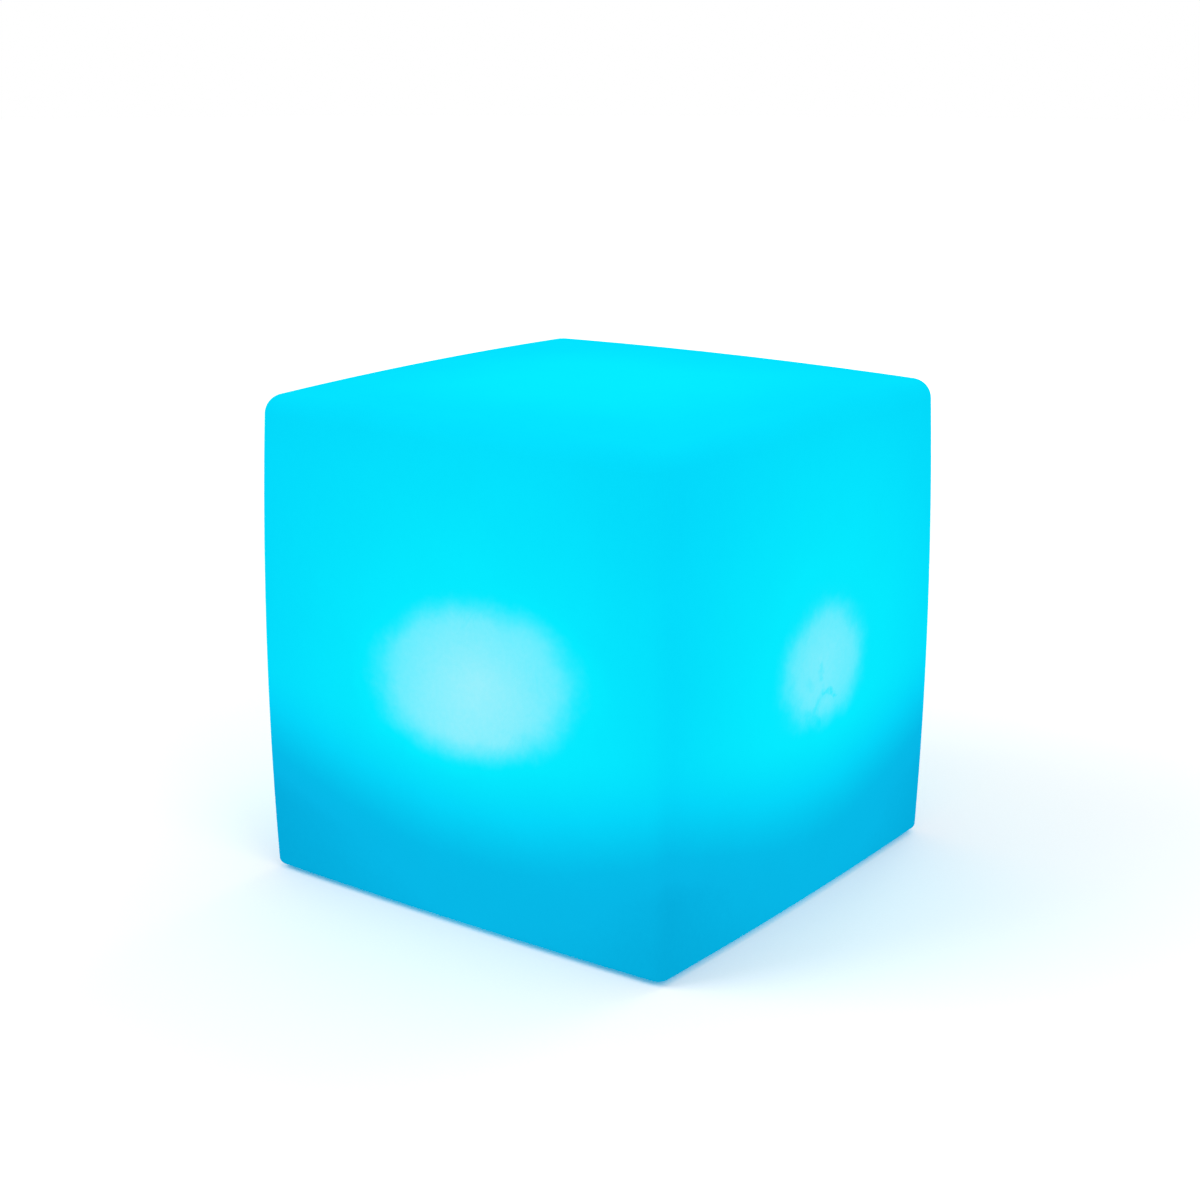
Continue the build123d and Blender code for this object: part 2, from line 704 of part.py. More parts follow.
# ---------------------------------------------------------------- lamp housing
def housing_outline(inset, bottom, top):
    """Half outline of the drum and its post, drawn in from the outer skin by a wall."""
    drum = housing_radius - inset
    roof = housing_roof - inset
    post = post_diameter / 2 - inset
    corners = [(0, bottom), (drum, bottom), (drum, roof), (post, roof), (post, top), (0, top)]
    face = make_face(Polyline(*corners, close=True))
    points = face.vertices()
    shoulder = points.filter_by(lambda v: abs(v.X - drum) < 0.01 and abs(v.Y - roof) < 0.01)
    face = fillet(shoulder, housing_shoulder - inset)
    points = face.vertices()
    root = points.filter_by(lambda v: abs(v.X - post) < 0.01 and abs(v.Y - roof) < 0.01)
    return fillet(root, housing_root_radius)


def lamp_housing():
    """Drum over the board and battery, drawn up into the post that carries the head."""
    outer = revolve(Plane.XZ * housing_outline(0, seat, post_top), Axis.Z)
    inner = revolve(Plane.XZ * housing_outline(housing_wall, seat - 1, post_top + 1), Axis.Z)
    body = outer - inner
    boss = disc(housing_boss, seat, seat + housing_boss_height)
    body += around(boss, housing_screw_circle, housing_screw_count)
    groove_middle = seat + ring_groove_height
    groove = ring(
        2 * housing_radius + 2,
        2 * (housing_radius - ring_groove_depth),
        groove_middle - ring_groove_width / 2,
        groove_middle + ring_groove_width / 2,
    )
    pilot = disc(housing_screw, seat - 1, plate_bottom + housing_screw_length + screw_relief)
    return body - groove - around(pilot, housing_screw_circle, housing_screw_count)


def housing_seal():
    """O-ring between the drum and the plate's collar."""
    outer = collar_radius - collar_wall
    inner = housing_radius - ring_groove_depth
    return o_ring(outer + inner, outer - inner - 2 * touch, seat + ring_groove_height)


def housing_screws():
    """Four countersunk screws up through the plate into the drum."""
    screw = sunk_screw(housing_screw, housing_screw_length, housing_screw_head)
    return group(around(Pos(0, 0, plate_bottom + touch) * screw, housing_screw_circle, housing_screw_count))


def head_plate():
    """Round plate on top of the post. Its socket fits over the post, and the head stands on it."""
    plate = disc(head_diameter, head_bottom, head_top)
    socket = post_diameter + 2 * easy
    plate += ring(socket + 2 * head_socket_wall, socket, head_bottom - head_socket_depth, head_bottom + 1)
    plate -= disc(head_wire_hole, head_bottom - 1, head_top + 1)
    groove_outer = head_seal_circle() + dome_seal_width
    groove_inner = head_seal_circle() - dome_seal_width
    plate -= ring(groove_outer, groove_inner, head_top - dome_seal_depth, head_top + 1)
    hole = disc(light_screw + easy, head_bottom - 1, head_top + 1)
    return plate - [Pos(side * light_screw_spacing / 2, 0, 0) * hole for side in (-1, 1)]


def head_seal_circle():
    """Diameter of the middle of the dome's O-ring, under the middle of its flange."""
    return (head_diameter + dome_diameter) / 2 - dome_wall


def dome_seal():
    """O-ring under the dome's flange."""
    section = dome_seal_depth - 2 * touch
    return o_ring(head_seal_circle(), section, head_top - dome_seal_depth / 2)


def dome_outline(inset, bottom):
    """Half outline of the dome, drawn in from the outer skin by a wall."""
    radius = dome_diameter / 2 - inset
    corner = head_top + dome_flange_thickness + dome_straight - inset
    crown = corner + dome_rise
    bow = ball_arc(radius, corner, dome_rise)
    walls = Polyline((0, crown), (0, bottom), (radius, bottom), (radius, corner))
    face = make_face([walls, bow])
    shoulder = face.vertices().filter_by(lambda v: v.X > radius / 2 and v.Y > corner - 0.01)
    return fillet(shoulder, dome_shoulder - inset)


def lens_dome():
    """Clear dome over the head, with a flange at its foot."""
    outer = revolve(Plane.XZ * dome_outline(0, head_top), Axis.Z)
    inner = revolve(Plane.XZ * dome_outline(dome_wall, head_top - 1), Axis.Z)
    flange = disc(head_diameter - 2 * easy, head_top, head_top + dome_flange_thickness)
    return outer + flange - inner


def dome_ring():
    """Screw-down ring that clamps the dome's flange to the head plate."""
    low = head_bottom + dome_ring_short
    shelf = head_top + dome_flange_thickness
    top = shelf + dome_ring_lip
    outer = head_diameter + 2 * (dome_ring_wall + snug)
    body = ring(outer, head_diameter + 2 * snug, low, shelf)
    body += ring(outer, dome_diameter + 2 * easy, shelf, top)
    grip = disc(2 * dome_ring_grip_depth, low - 1, top + 1)
    return body - around(grip, outer, dome_ring_grips)


# ---------------------------------------------------------------- head
def light_block():
    """Aluminium block that carries the side boards and spreads their heat."""
    block = slab(light_length, light_depth, head_top, light_top)
    block = fillet(block.edges().filter_by(Axis.Z), light_edge_radius)
    block -= slab(light_bore_length, light_bore_depth, head_top - 1, light_top + 1)
    hole = disc(light_screw, head_top - 1, head_bottom + light_screw_length + screw_relief)
    return block - [Pos(side * light_screw_spacing / 2, 0, 0) * hole for side in (-1, 1)]


def light_screws():
    """Two screws up through the head plate into the block."""
    screw = pan_screw(light_screw, light_screw_length, light_screw_head, light_screw_head_height)
    return group([Pos(side * light_screw_spacing / 2, 0, head_bottom) * screw for side in (-1, 1)])


def side_board(width, distance):
    """A board on the block's front face, before it is turned to its own side."""
    y = -(distance + strip_thickness / 2)
    return slab(width, strip_thickness, head_top + strip_margin, light_top - strip_margin, 0, y)


def side_chips(columns, distance):
    """Light-emitting chips on a side board: two rows of the given number of columns."""
    middle = (head_top + light_top) / 2
    y = -(distance + strip_thickness + chip_thickness / 2)
    chips = []
    for column in range(columns):
        x = (column - (columns - 1) / 2) * chip_across
        for row in (-0.5, 0.5):
            low = middle + row * chip_upright - chip_size / 2
            chips.append(slab(chip_size, chip_thickness, low, low + chip_size, x, y))
    return group(chips)


def top_board():
    """The board on top of the block."""
    width = light_length - 2 * strip_margin
    return slab(width, light_depth - 2 * strip_margin, light_top, light_top + strip_thickness)


def top_chips():
    """Two chips on the top board, facing up."""
    low = light_top + strip_thickness
    chip = slab(chip_size, chip_size, low, low + chip_thickness)
    return group([Pos(side * chip_across, 0, 0) * chip for side in (-1, 1)])


def remote_receiver():
    """Infrared receiver in the middle of the top board, with a rounded window."""
    low = light_top + strip_thickness
    body = slab(receiver_width, receiver_depth, low, low + receiver_height)
    return fillet(body.edges().group_by(Axis.Z)[-1], receiver_edge_radius)


def lamp_harness():
    """Ribbon from the front connector over the battery and up the post to the top board."""
    over = housing_roof - housing_wall - ribbon_thickness / 2 - touch * 5
    points = [
        (0, -connector_back, board_top + connector_height),
        (0, -connector_back, over),
        (0, 0, over),
        (0, 0, light_top),
    ]
    path = FilletPolyline(*points, radius=ribbon_bend)
    section = Plane(path @ 0, x_dir=(1, 0, 0), z_dir=path % 0) * Rectangle(ribbon_width, ribbon_thickness)
    return sweep(section, path=path)


# ---------------------------------------------------------------- the assembly
def build_nodes():
    """Every separate piece of the light, by name."""
    half = foot_spacing / 2
    long_board = light_length - 2 * strip_margin
    short_board = light_depth - 2 * strip_margin
    nodes = {
        "diffuser_shell": diffuser_shell(),
        "threaded_inserts": threaded_inserts(),
        "foot_front_left": foot(-half, -half),
        "foot_front_right": foot(half, -half),
        "foot_rear_left": foot(-half, half),
        "foot_rear_right": foot(half, half),
        "base_plate": base_plate(),
        "base_seal": o_ring(seal_circle, seal_groove_depth - 2 * touch, seat - seal_groove_depth / 2),
        "base_screws": base_screws(),
        "jack_body": jack_body(),
        "jack_pin": jack_pin(),
        "jack_gasket": jack_gasket(),
        "jack_nut": jack_nut(),
        "port_door": port_door(),
        "door_pad": door_pad(),
        "hinge_pin": hinge_pin(),
        "charge_indicator": charge_indicator(),
        "control_board": control_board(),
        "board_parts": board_parts(),
        "board_screws": board_screws(),
        "battery_tray": battery_tray(),
        "battery_cell_front": battery_cell(-1),
        "battery_cell_rear": battery_cell(1),
        "battery_links": battery_links(),
        "protection_board": protection_board(),
        "battery_leads": battery_leads(),
        "lamp_housing": lamp_housing(),
        "housing_seal": housing_seal(),
        "housing_screws": housing_screws(),
        "head_plate": head_plate(),
        "light_block": light_block(),
        "light_screws": light_screws(),
        "top_board": top_board(),
        "top_chips": top_chips(),
        "remote_receiver": remote_receiver(),
        "lamp_harness": lamp_harness(),
        "lens_dome": lens_dome(),
        "dome_seal": dome_seal(),
        "dome_ring": dome_ring(),
    }
    for name, side in (("power", -1), ("mode", 1)):
        place = Pos(side * button_side, button_back, 0)
        nodes[name + "_switch_body"] = place * switch_body()
        nodes[name + "_switch_seal"] = place * switch_seal()
        nodes[name + "_switch_nut"] = place * switch_nut()
        nodes[name + "_button"] = place * button()
    sides = (
        ("front", 0, long_board, light_depth, 3),
        ("right", 90, short_board, light_length, 1),
        ("rear", 180, long_board, light_depth, 3),
        ("left", 270, short_board, light_length, 1),
    )
    for name, turn, width, across, columns in sides:
        nodes[name + "_board"] = Rot(0, 0, turn) * side_board(width, across / 2)
        nodes[name + "_chips"] = Rot(0, 0, turn) * side_chips(columns, across / 2)
    return nodes


os.makedirs("parts", exist_ok=True)
for node_name, node_shape in build_nodes().items():
    export_step(node_shape, f"parts/{node_name}.step")
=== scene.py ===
import json
import math

import bmesh
import bpy
from mathutils import Matrix, Vector


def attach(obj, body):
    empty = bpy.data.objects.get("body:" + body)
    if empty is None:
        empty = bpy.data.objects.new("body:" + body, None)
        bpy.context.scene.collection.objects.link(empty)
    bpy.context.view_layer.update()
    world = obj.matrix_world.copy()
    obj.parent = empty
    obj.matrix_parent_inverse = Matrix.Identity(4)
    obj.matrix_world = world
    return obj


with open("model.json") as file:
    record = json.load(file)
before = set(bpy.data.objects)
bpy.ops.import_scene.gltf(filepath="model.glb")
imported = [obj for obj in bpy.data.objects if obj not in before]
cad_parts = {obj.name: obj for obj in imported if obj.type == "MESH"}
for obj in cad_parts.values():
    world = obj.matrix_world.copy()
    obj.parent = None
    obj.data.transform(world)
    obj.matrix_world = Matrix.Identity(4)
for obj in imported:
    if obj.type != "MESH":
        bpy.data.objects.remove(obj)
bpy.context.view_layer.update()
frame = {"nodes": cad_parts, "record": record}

# The look of an outdoor light cube that is switched on. The milky shell glows cyan from the lamp
# head at its middle, and the sealed lamp module shows from underneath. Lengths are in metres and
# angles in degrees.
mm = 0.001

# ------------------------------------------------------- where the photograph was taken from
camera_azimuth = 36.307  # from the front towards the right
camera_elevation = 15.597
camera_roll = 0.099
camera_distance = 0.87178
camera_aim_height = 0.0995  # on the cube's axis
camera_aim_right = -0.0018  # the middle of the picture, from that point
camera_aim_up = 0.00816
focal_share = 1.78229  # focal length over the width of the picture
sensor_width = 36.0  # in millimetres, as lenses are given

# ------------------------------------------------------- the glow on the shell
# The tone runs from 0, the darkest cyan by the ground, to 1, the middle of the bright patches.
wall_tone = 0.484  # of the walls above the base's shadow
wall_lights_up = (0.0208, 0.0802)  # heights between which the base's shadow ends
wall_reach = 0.098  # from the middle of a wall to its corners
shadow_bow = -0.0101  # how far the shadow's edge moves towards the corners
halo_level = 0.279  # wide glow round each bright patch
halo_reach = 0.1437
halo_height = 0.0920
top_tone = 0.700  # at the middle of the top
top_fade = 0.123  # how much of it is lost towards the edges
top_fades = (0.0224, 0.0943)  # from the middle of the top out to its edges
wide_patch = {  # in front of the long boards
    "Middle": 0.0128, "Level Height": 0.1011, "Half Width": 0.0480, "Half Height": 0.0310,
    "Lean": -0.302, "Rim": 0.202, "Rise": 0.034, "Core": 0.715, "Reach": 1.300,
}
narrow_patch = {  # in front of the short boards
    "Middle": 0.0062, "Level Height": 0.0975, "Half Width": 0.0477, "Half Height": 0.0371,
    "Lean": 0.059, "Rim": 0.139, "Rise": 0.051, "Core": 0.419, "Reach": 0.826,
}
patch_waver = 0.14  # how uneven the outline of a bright patch is, as a share of its size
floor_tone = 0.17  # of the floor beside its pocket, fading outwards
floor_fades = (0.066, 0.125)  # radii
pocket_tone = 0.36  # of the pocket's wall, where light leaks past the base plate
pocket_lip = (0.0660, 0.0673)  # radii over which the leak ends at the floor
pocket_heights = (0.0040, 0.0110)  # and heights over which it fades
cloud_spread = 0.05  # slow clouds in the tone
speck_spread = 0.03  # fine specks in the tone
mark_darkens = 0.02  # tone that a handling mark takes away
wear_depth = 8.0  # how deep a scuff is for each unit of tone that it takes away

deep_cyan, dusk_cyan, low_cyan = (4, 171, 220), (6, 183, 231), (5, 187, 233)
wall_cyan, bright_cyan, patch_white = (3, 214, 250), (4, 234, 255), (151, 241, 254)
cyan_steps = (
    (0.0, deep_cyan),
    (0.09, dusk_cyan),
    (0.18, low_cyan),
    (0.45, wall_cyan),
    (0.70, bright_cyan),
)
white_starts = 0.704  # the tone above which the cyan whitens
white_curve = 2.58
shell_skin = (0.0, 0.085, 0.14)  # what the shell sends back of the room's light

scuff_wall = 0.0999  # the right wall, low in its bright patch
scuff_lines = (  # start and end as (depth, height), then width, and tone taken away
    ((0.0152, 0.0830), (0.0115, 0.0860), 0.0019, 0.090),
    ((0.0115, 0.0860), (0.0066, 0.0863), 0.0022, 0.080),
    ((0.0066, 0.0863), (0.0008, 0.0805), 0.0034, 0.055),
    ((0.0010, 0.0785), (0.0034, 0.0742), 0.0034, 0.035),
    ((0.0039, 0.0975), (0.0042, 0.0922), 0.0025, 0.040),
    ((-0.0050, 0.0932), (-0.0025, 0.0902), 0.0034, 0.022),
    ((-0.0064, 0.0797), (-0.0018, 0.0782), 0.0036, 0.030),
)

# ------------------------------------------------------- the form that the glow follows
cube_half_width = 0.0982  # at the corners, half way up
cube_taper = 0.0018  # how much less that is at the ground and at the top
corner_radii = (0.0050, 0.0095)  # of the upright corners, at the ground and at the top
cube_heights = (0.0015, 0.1979)  # of its underside and its top
rounded_top = (0.1880, 0.1960)  # heights over which the top edges are rounded
rounded_foot = (0.0041, 0.0015)  # and, downwards, the edges at the ground

# ------------------------------------------------------- the room
room_level = 0.80  # the even light from all round
softboxes = (  # name, place, size and power in watts
    ("left_softbox", (-1.1, -1.2, 1.5), 1.3, 17.0),
    ("right_softbox", (1.5, -0.5, 1.1), 1.2, 9.0),
    ("rear_softbox", (0.2, 1.5, 1.6), 1.3, 9.0),
)
softbox_aim = (0, 0, 0.1)
floor_radius = 6.0
floor_gap = 0.05 * mm  # under the feet
floor_whitens = (0.25, 1.6)  # distances over which the paper turns to the white of the room
floor_glow = 0.45  # how much it then adds


def linear(colour):
    """A colour as it shows on a screen, 0 to 255, turned into light."""
    shares = [part / 255 for part in colour]
    return tuple(c / 12.92 if c <= 0.04045 else ((c + 0.055) / 1.055) ** 2.4 for c in shares)


# ------------------------------------------------------- wiring of materials
COLOUR, NUMBER, VECTOR = "NodeSocketColor", "NodeSocketFloat", "NodeSocketVector"
column_width, row_height, columns = 220, 260, 12  # how the nodes are laid out to be looked at
mix_share, mix_first, mix_second, mix_result = 0, 6, 7, 2  # the sockets of a mix of colours


def feed(tree, socket, value):
    """Links another node's output to a socket, or sets the socket to a plain value."""
    if isinstance(value, bpy.types.NodeSocket):
        tree.links.new(value, socket)
    else:
        socket.default_value = value


def opaque(value):
    """A colour given by three numbers, with its fourth. A node's output is left as it is."""
    return value if isinstance(value, bpy.types.NodeSocket) else (*value, 1.0)


def add(tree, kind, inputs=None, **settings):
    """One node, with its settings, and its inputs given as values or as other nodes' outputs."""
    node = tree.nodes.new(kind)
    row, column = divmod(len(tree.nodes), columns)
    node.location = (column_width * column, -row_height * row)
    for name, value in settings.items():
        setattr(node, name, value)
    for name, value in (inputs or {}).items():
        feed(tree, node.inputs[name], value)
    return node


def calc(tree, operation, *values, clamp=False):
    """The output of one sum on numbers."""
    given = dict(enumerate(values))
    return add(tree, "ShaderNodeMath", given, operation=operation, use_clamp=clamp).outputs[0]


def vectors(tree, operation, first, second, output="Vector"):
    """The output of one sum on two vectors."""
    given = {0: first, 1: second}
    return add(tree, "ShaderNodeVectorMath", given, operation=operation).outputs[output]


def scaled(tree, vector, factor):
    """A vector or a colour times a number."""
    given = {0: vector, "Scale": factor}
    return add(tree, "ShaderNodeVectorMath", given, operation="SCALE").outputs["Vector"]


def remap(tree, value, low, high, to_low=0.0, to_high=1.0, kind="SMOOTHSTEP"):
    """A number carried from one range to another, and held at its ends."""
    given = {"Value": value, "From Min": low, "From Max": high, "To Min": to_low, "To Max": to_high}
    return add(tree, "ShaderNodeMapRange", given, interpolation_type=kind).outputs["Result"]


def mixed(tree, share, first, second, blend="MIX"):
    """Two colours mixed by a share."""
    given = {mix_share: share, mix_first: opaque(first), mix_second: opaque(second)}
    node = add(tree, "ShaderNodeMix", given, data_type="RGBA", blend_type=blend)
    return node.outputs[mix_result]


def noise(tree, place, scale, detail=2.0, roughness=0.5):
    """Soft random patches, 0 to 1."""
    given = {"Vector": place, "Scale": scale, "Detail": detail, "Roughness": roughness}
    return add(tree, "ShaderNodeTexNoise", given).outputs["Fac"]


def dots(tree, place, scale, randomness, core, rim):
    """Small round dots scattered on a loose grid, each 1 at its core and 0 from its rim out."""
    given = {"Vector": place, "Scale": scale, "Randomness": randomness}
    away = add(tree, "ShaderNodeTexVoronoi", given).outputs["Distance"]
    return remap(tree, away, core, rim, 1.0, 0.0)


def swing(tree, value, spread):
    """A number from 0 to 1 turned into one that swings about 0, as widely as the spread."""
    return calc(tree, "MULTIPLY", calc(tree, "SUBTRACT", value, 0.5), spread)


def stretched(tree, place, scale):
    """The place with each direction scaled by its own factor."""
    return add(tree, "ShaderNodeMapping", {"Vector": place, "Scale": scale}).outputs["Vector"]


def from_middle(tree, across, up):
    """The distance from the middle, from two directions."""
    squares = (calc(tree, "MULTIPLY", across, across), calc(tree, "MULTIPLY", up, up))
    return calc(tree, "SQRT", calc(tree, "ADD", *squares))


def here(tree):
    """The point on the piece, in its own frame."""
    return add(tree, "ShaderNodeTexCoord").outputs["Object"]


def split(tree, vector):
    """The X, Y and Z of a vector."""
    return add(tree, "ShaderNodeSeparateXYZ", {0: vector}).outputs


def new_group(name, takes, gives):
    """An empty node group with named inputs and outputs."""
    group = bpy.data.node_groups.new(name, "ShaderNodeTree")
    for label, kind, value in takes:
        socket = group.interface.new_socket(label, in_out="INPUT", socket_type=kind)
        socket.default_value = value
    for label, kind in gives:
        group.interface.new_socket(label, in_out="OUTPUT", socket_type=kind)
    given = group.nodes.new("NodeGroupInput")
    out = group.nodes.new("NodeGroupOutput")
    return group, given.outputs, out.inputs


def use(tree, group, **values):
    """The outputs of a group placed in a tree. Underscores in the names stand for spaces."""
    given = {name.replace("_", " "): value for name, value in values.items()}
    return add(tree, "ShaderNodeGroup", given, node_tree=group).outputs


# ------------------------------------------------------- effects that materials share
def moulded_grain_group():
    """Slow patches in the colour and roughness of a moulding, and its fine even grain."""
    group, given, out = new_group(
        "moulded grain",
        [("Colour", COLOUR, (0.8, 0.8, 0.8, 1)), ("Shade", NUMBER, 0.9),
         ("Patch Scale", NUMBER, 30.0), ("Grain Scale", NUMBER, 1500.0),
         ("Roughness", NUMBER, 0.5), ("Roughness Spread", NUMBER, 0.1)],
        [("Colour", COLOUR), ("Roughness", NUMBER), ("Height", NUMBER)],
    )
    place = here(group)
    patches = noise(group, place, given["Patch Scale"], 3.0)
    darker = scaled(group, given["Colour"], given["Shade"])
    colour = mixed(group, remap(group, patches, 0.35, 0.65), given["Colour"], darker)
    uneven = swing(group, patches, given["Roughness Spread"])
    rough = calc(group, "ADD", given["Roughness"], uneven, clamp=True)
    feed(group, out["Colour"], colour)
    feed(group, out["Roughness"], rough)
    feed(group, out["Height"], noise(group, place, given["Grain Scale"], 2.0, 0.6))
    return group


def handling_marks_group():
    """Fine crossing scratches, thinned out in patches."""
    group, given, out = new_group(
        "handling marks",
        [("Scale", NUMBER, 60.0), ("Share", NUMBER, 0.3)],
        [("Mask", NUMBER)],
    )
    fineness = 0.012  # how near the middle of the noise a scratch runs
    long_and_thin = (1.0, 26.0, 1.6)
    place = here(group)
    ways = []
    for turn in (0.4, 1.9):
        turning = {"Vector": place, "Rotation": (turn, turn / 2, turn)}
        crossing = add(group, "ShaderNodeMapping", turning).outputs["Vector"]
        drawn = noise(group, stretched(group, crossing, long_and_thin), given["Scale"], 1.0)
        off_line = calc(group, "ABSOLUTE", calc(group, "SUBTRACT", drawn, 0.5))
        ways.append(remap(group, off_line, 0.0, fineness, 1.0, 0.0))
    patches = remap(group, noise(group, place, 24.0), 0.45, 0.7)
    thinned = calc(group, "MULTIPLY", calc(group, "MAXIMUM", *ways), patches)
    feed(group, out["Mask"], calc(group, "MULTIPLY", thinned, given["Share"]))
    return group


def settled_dust_group():
    """Pale dust in soft patches, more of it where a surface faces up."""
    group, given, out = new_group(
        "settled dust",
        [("Colour", COLOUR, (0.5, 0.5, 0.5, 1)), ("Dust", COLOUR, (0.6, 0.58, 0.54, 1)),
         ("Amount", NUMBER, 0.2)],
        [("Colour", COLOUR)],
    )
    normal = add(group, "ShaderNodeTexCoord").outputs["Normal"]
    lying = remap(group, split(group, normal)["Z"], -0.2, 1.0, 0.35, 1.0)
    patches = remap(group, noise(group, here(group), 90.0, 4.0, 0.6), 0.42, 0.72)
    settled = calc(group, "MULTIPLY", patches, lying)
    share = calc(group, "MULTIPLY", settled, given["Amount"], clamp=True)
    feed(group, out["Colour"], mixed(group, share, given["Colour"], given["Dust"]))
    return group


def scuff_group():
    """One short scuff between two points, soft, a little crooked, and uneven along its length."""
    group, given, out = new_group(
        "scuff",
        [("From", VECTOR, (0.0, 0.0, 0.0)), ("To", VECTOR, (0.01, 0.0, 0.0)),
         ("Width", NUMBER, 0.001)],
        [("Mask", NUMBER)],
    )
    crook = (5 * mm,) * 3  # how far the line wanders, from one side to the other
    place = here(group)
    bend = add(group, "ShaderNodeTexNoise", {"Vector": place, "Scale": 260.0, "Detail": 2.0})
    about_none = vectors(group, "SUBTRACT", bend.outputs["Color"], (0.5, 0.5, 0.5))
    pushed = vectors(group, "MULTIPLY", about_none, crook)
    off = vectors(group, "SUBTRACT", vectors(group, "ADD", place, pushed), given["From"])
    line = vectors(group, "SUBTRACT", given["To"], given["From"])
    reached = vectors(group, "DOT_PRODUCT", off, line, "Value")
    whole = vectors(group, "DOT_PRODUCT", line, line, "Value")
    nearest = scaled(group, line, calc(group, "DIVIDE", reached, whole, clamp=True))
    away = vectors(group, "DISTANCE", off, nearest, "Value")
    stroke = remap(group, calc(group, "DIVIDE", away, given["Width"]), 0.15, 1.0, 1.0, 0.0)
    uneven = remap(group, noise(group, place, 300.0, 2.0), 0.35, 0.62, 0.5, 1.0)
    feed(group, out["Mask"], calc(group, "MULTIPLY", stroke, uneven))
    return group


def side_glow_group():
    """The tone of one side wall, from the place across it and its height: the base's shadow, the
    wide halo of the lamp head, and the bright patch of one of its boards."""
    group, given, out = new_group(
        "side glow",
        [("Across", NUMBER, 0.0), ("Height", NUMBER, 0.0), ("Middle", NUMBER, 0.0),
         ("Level Height", NUMBER, 0.1), ("Half Width", NUMBER, 0.05),
         ("Half Height", NUMBER, 0.05), ("Lean", NUMBER, 0.0), ("Rim", NUMBER, 0.2),
         ("Rise", NUMBER, 0.05), ("Core", NUMBER, 0.7), ("Reach", NUMBER, 1.2),
         ("Waver", NUMBER, 0.0)],
        [("Tone", NUMBER)],
    )
    corner = calc(group, "DIVIDE", given["Across"], wall_reach)
    nearness = calc(group, "MULTIPLY", corner, corner)
    bowed = calc(group, "MULTIPLY_ADD", nearness, shadow_bow, given["Height"])
    body = remap(group, bowed, *wall_lights_up, 0.0, wall_tone)

    off = calc(group, "SUBTRACT", given["Across"], given["Middle"])
    above_halo = calc(group, "SUBTRACT", given["Height"], halo_height)
    halo = remap(group, from_middle(group, off, above_halo), 0.0, halo_reach, halo_level, 0.0)

    rise = calc(group, "SUBTRACT", given["Height"], given["Level Height"])
    leaned = calc(group, "MULTIPLY_ADD", rise, given["Lean"], off)
    widths = calc(group, "DIVIDE", leaned, given["Half Width"])
    heights = calc(group, "DIVIDE", rise, given["Half Height"])
    edge = calc(group, "ADD", from_middle(group, widths, heights), given["Waver"])
    patch = remap(group, edge, given["Core"], given["Reach"], given["Rim"], 0.0)
    crown = remap(group, edge, 0.0, 1.0, given["Rise"], 0.0, "LINEAR")
    soft, bright = calc(group, "ADD", body, halo), calc(group, "ADD", patch, crown)
    feed(group, out["Tone"], calc(group, "ADD", soft, bright))
    return group


moulded_grain = moulded_grain_group()
handling_marks = handling_marks_group()
settled_dust = settled_dust_group()
scuff = scuff_group()
side_glow = side_glow_group()


def start(name):
    """A new material and its node tree."""
    material = bpy.data.materials.new(name)
    material.use_nodes = True
    return material, material.node_tree


def finish(tree, colour, roughness, metallic=0.0, height=None, depth=0.0, **constants):
    """Sets a material's one Principled shader. Its height goes through a Bump node of the given
    depth. Underscores in the names of the constants stand for spaces."""
    shader = tree.nodes["Principled BSDF"]
    values = {"Base Color": opaque(colour), "Roughness": roughness, "Metallic": metallic}
    values.update({name.replace("_", " "): value for name, value in constants.items()})
    if height is not None:
        given = {"Height": height, "Distance": depth, "Strength": 1.0}
        values["Normal"] = add(tree, "ShaderNodeBump", given).outputs["Normal"]
    for label, value in values.items():
        feed(tree, shader.inputs[label], value)


# ------------------------------------------------------- the shell
def beyond(tree, value, first, last):
    """0 up to one length and 1 from another, squared: how far a point has gone round an edge."""
    share = remap(tree, value, first, last, kind="LINEAR")
    return calc(tree, "MULTIPLY", share, share)


def wall_shares(tree, at):
    """How much of each wall, of the top and of the floor a point of the rounded cube belongs to."""
    nearly_none = 0.0001
    up = remap(tree, at["Z"], *cube_heights, kind="LINEAR")
    from_half_way = calc(tree, "MULTIPLY_ADD", up, 2.0, -1.0)
    bow = calc(tree, "MULTIPLY", from_half_way, from_half_way)
    half = calc(tree, "MULTIPLY_ADD", bow, -cube_taper, cube_half_width)
    rounding = remap(tree, up, 0.0, 1.0, *corner_radii, kind="LINEAR")
    flat_half = calc(tree, "SUBTRACT", half, rounding)
    gone = {}
    for axis in "XY":
        gone[axis] = beyond(tree, calc(tree, "ABSOLUTE", at[axis]), flat_half, half)
    gone["Z"] = beyond(tree, at["Z"], *rounded_top)
    gone["foot"] = beyond(tree, at["Z"], *rounded_foot)
    sides = calc(tree, "ADD", gone["X"], gone["Y"])
    ends = calc(tree, "ADD", gone["Z"], gone["foot"])
    whole = calc(tree, "MAXIMUM", calc(tree, "ADD", sides, ends), nearly_none)
    return {name: calc(tree, "DIVIDE", part, whole) for name, part in gone.items()}


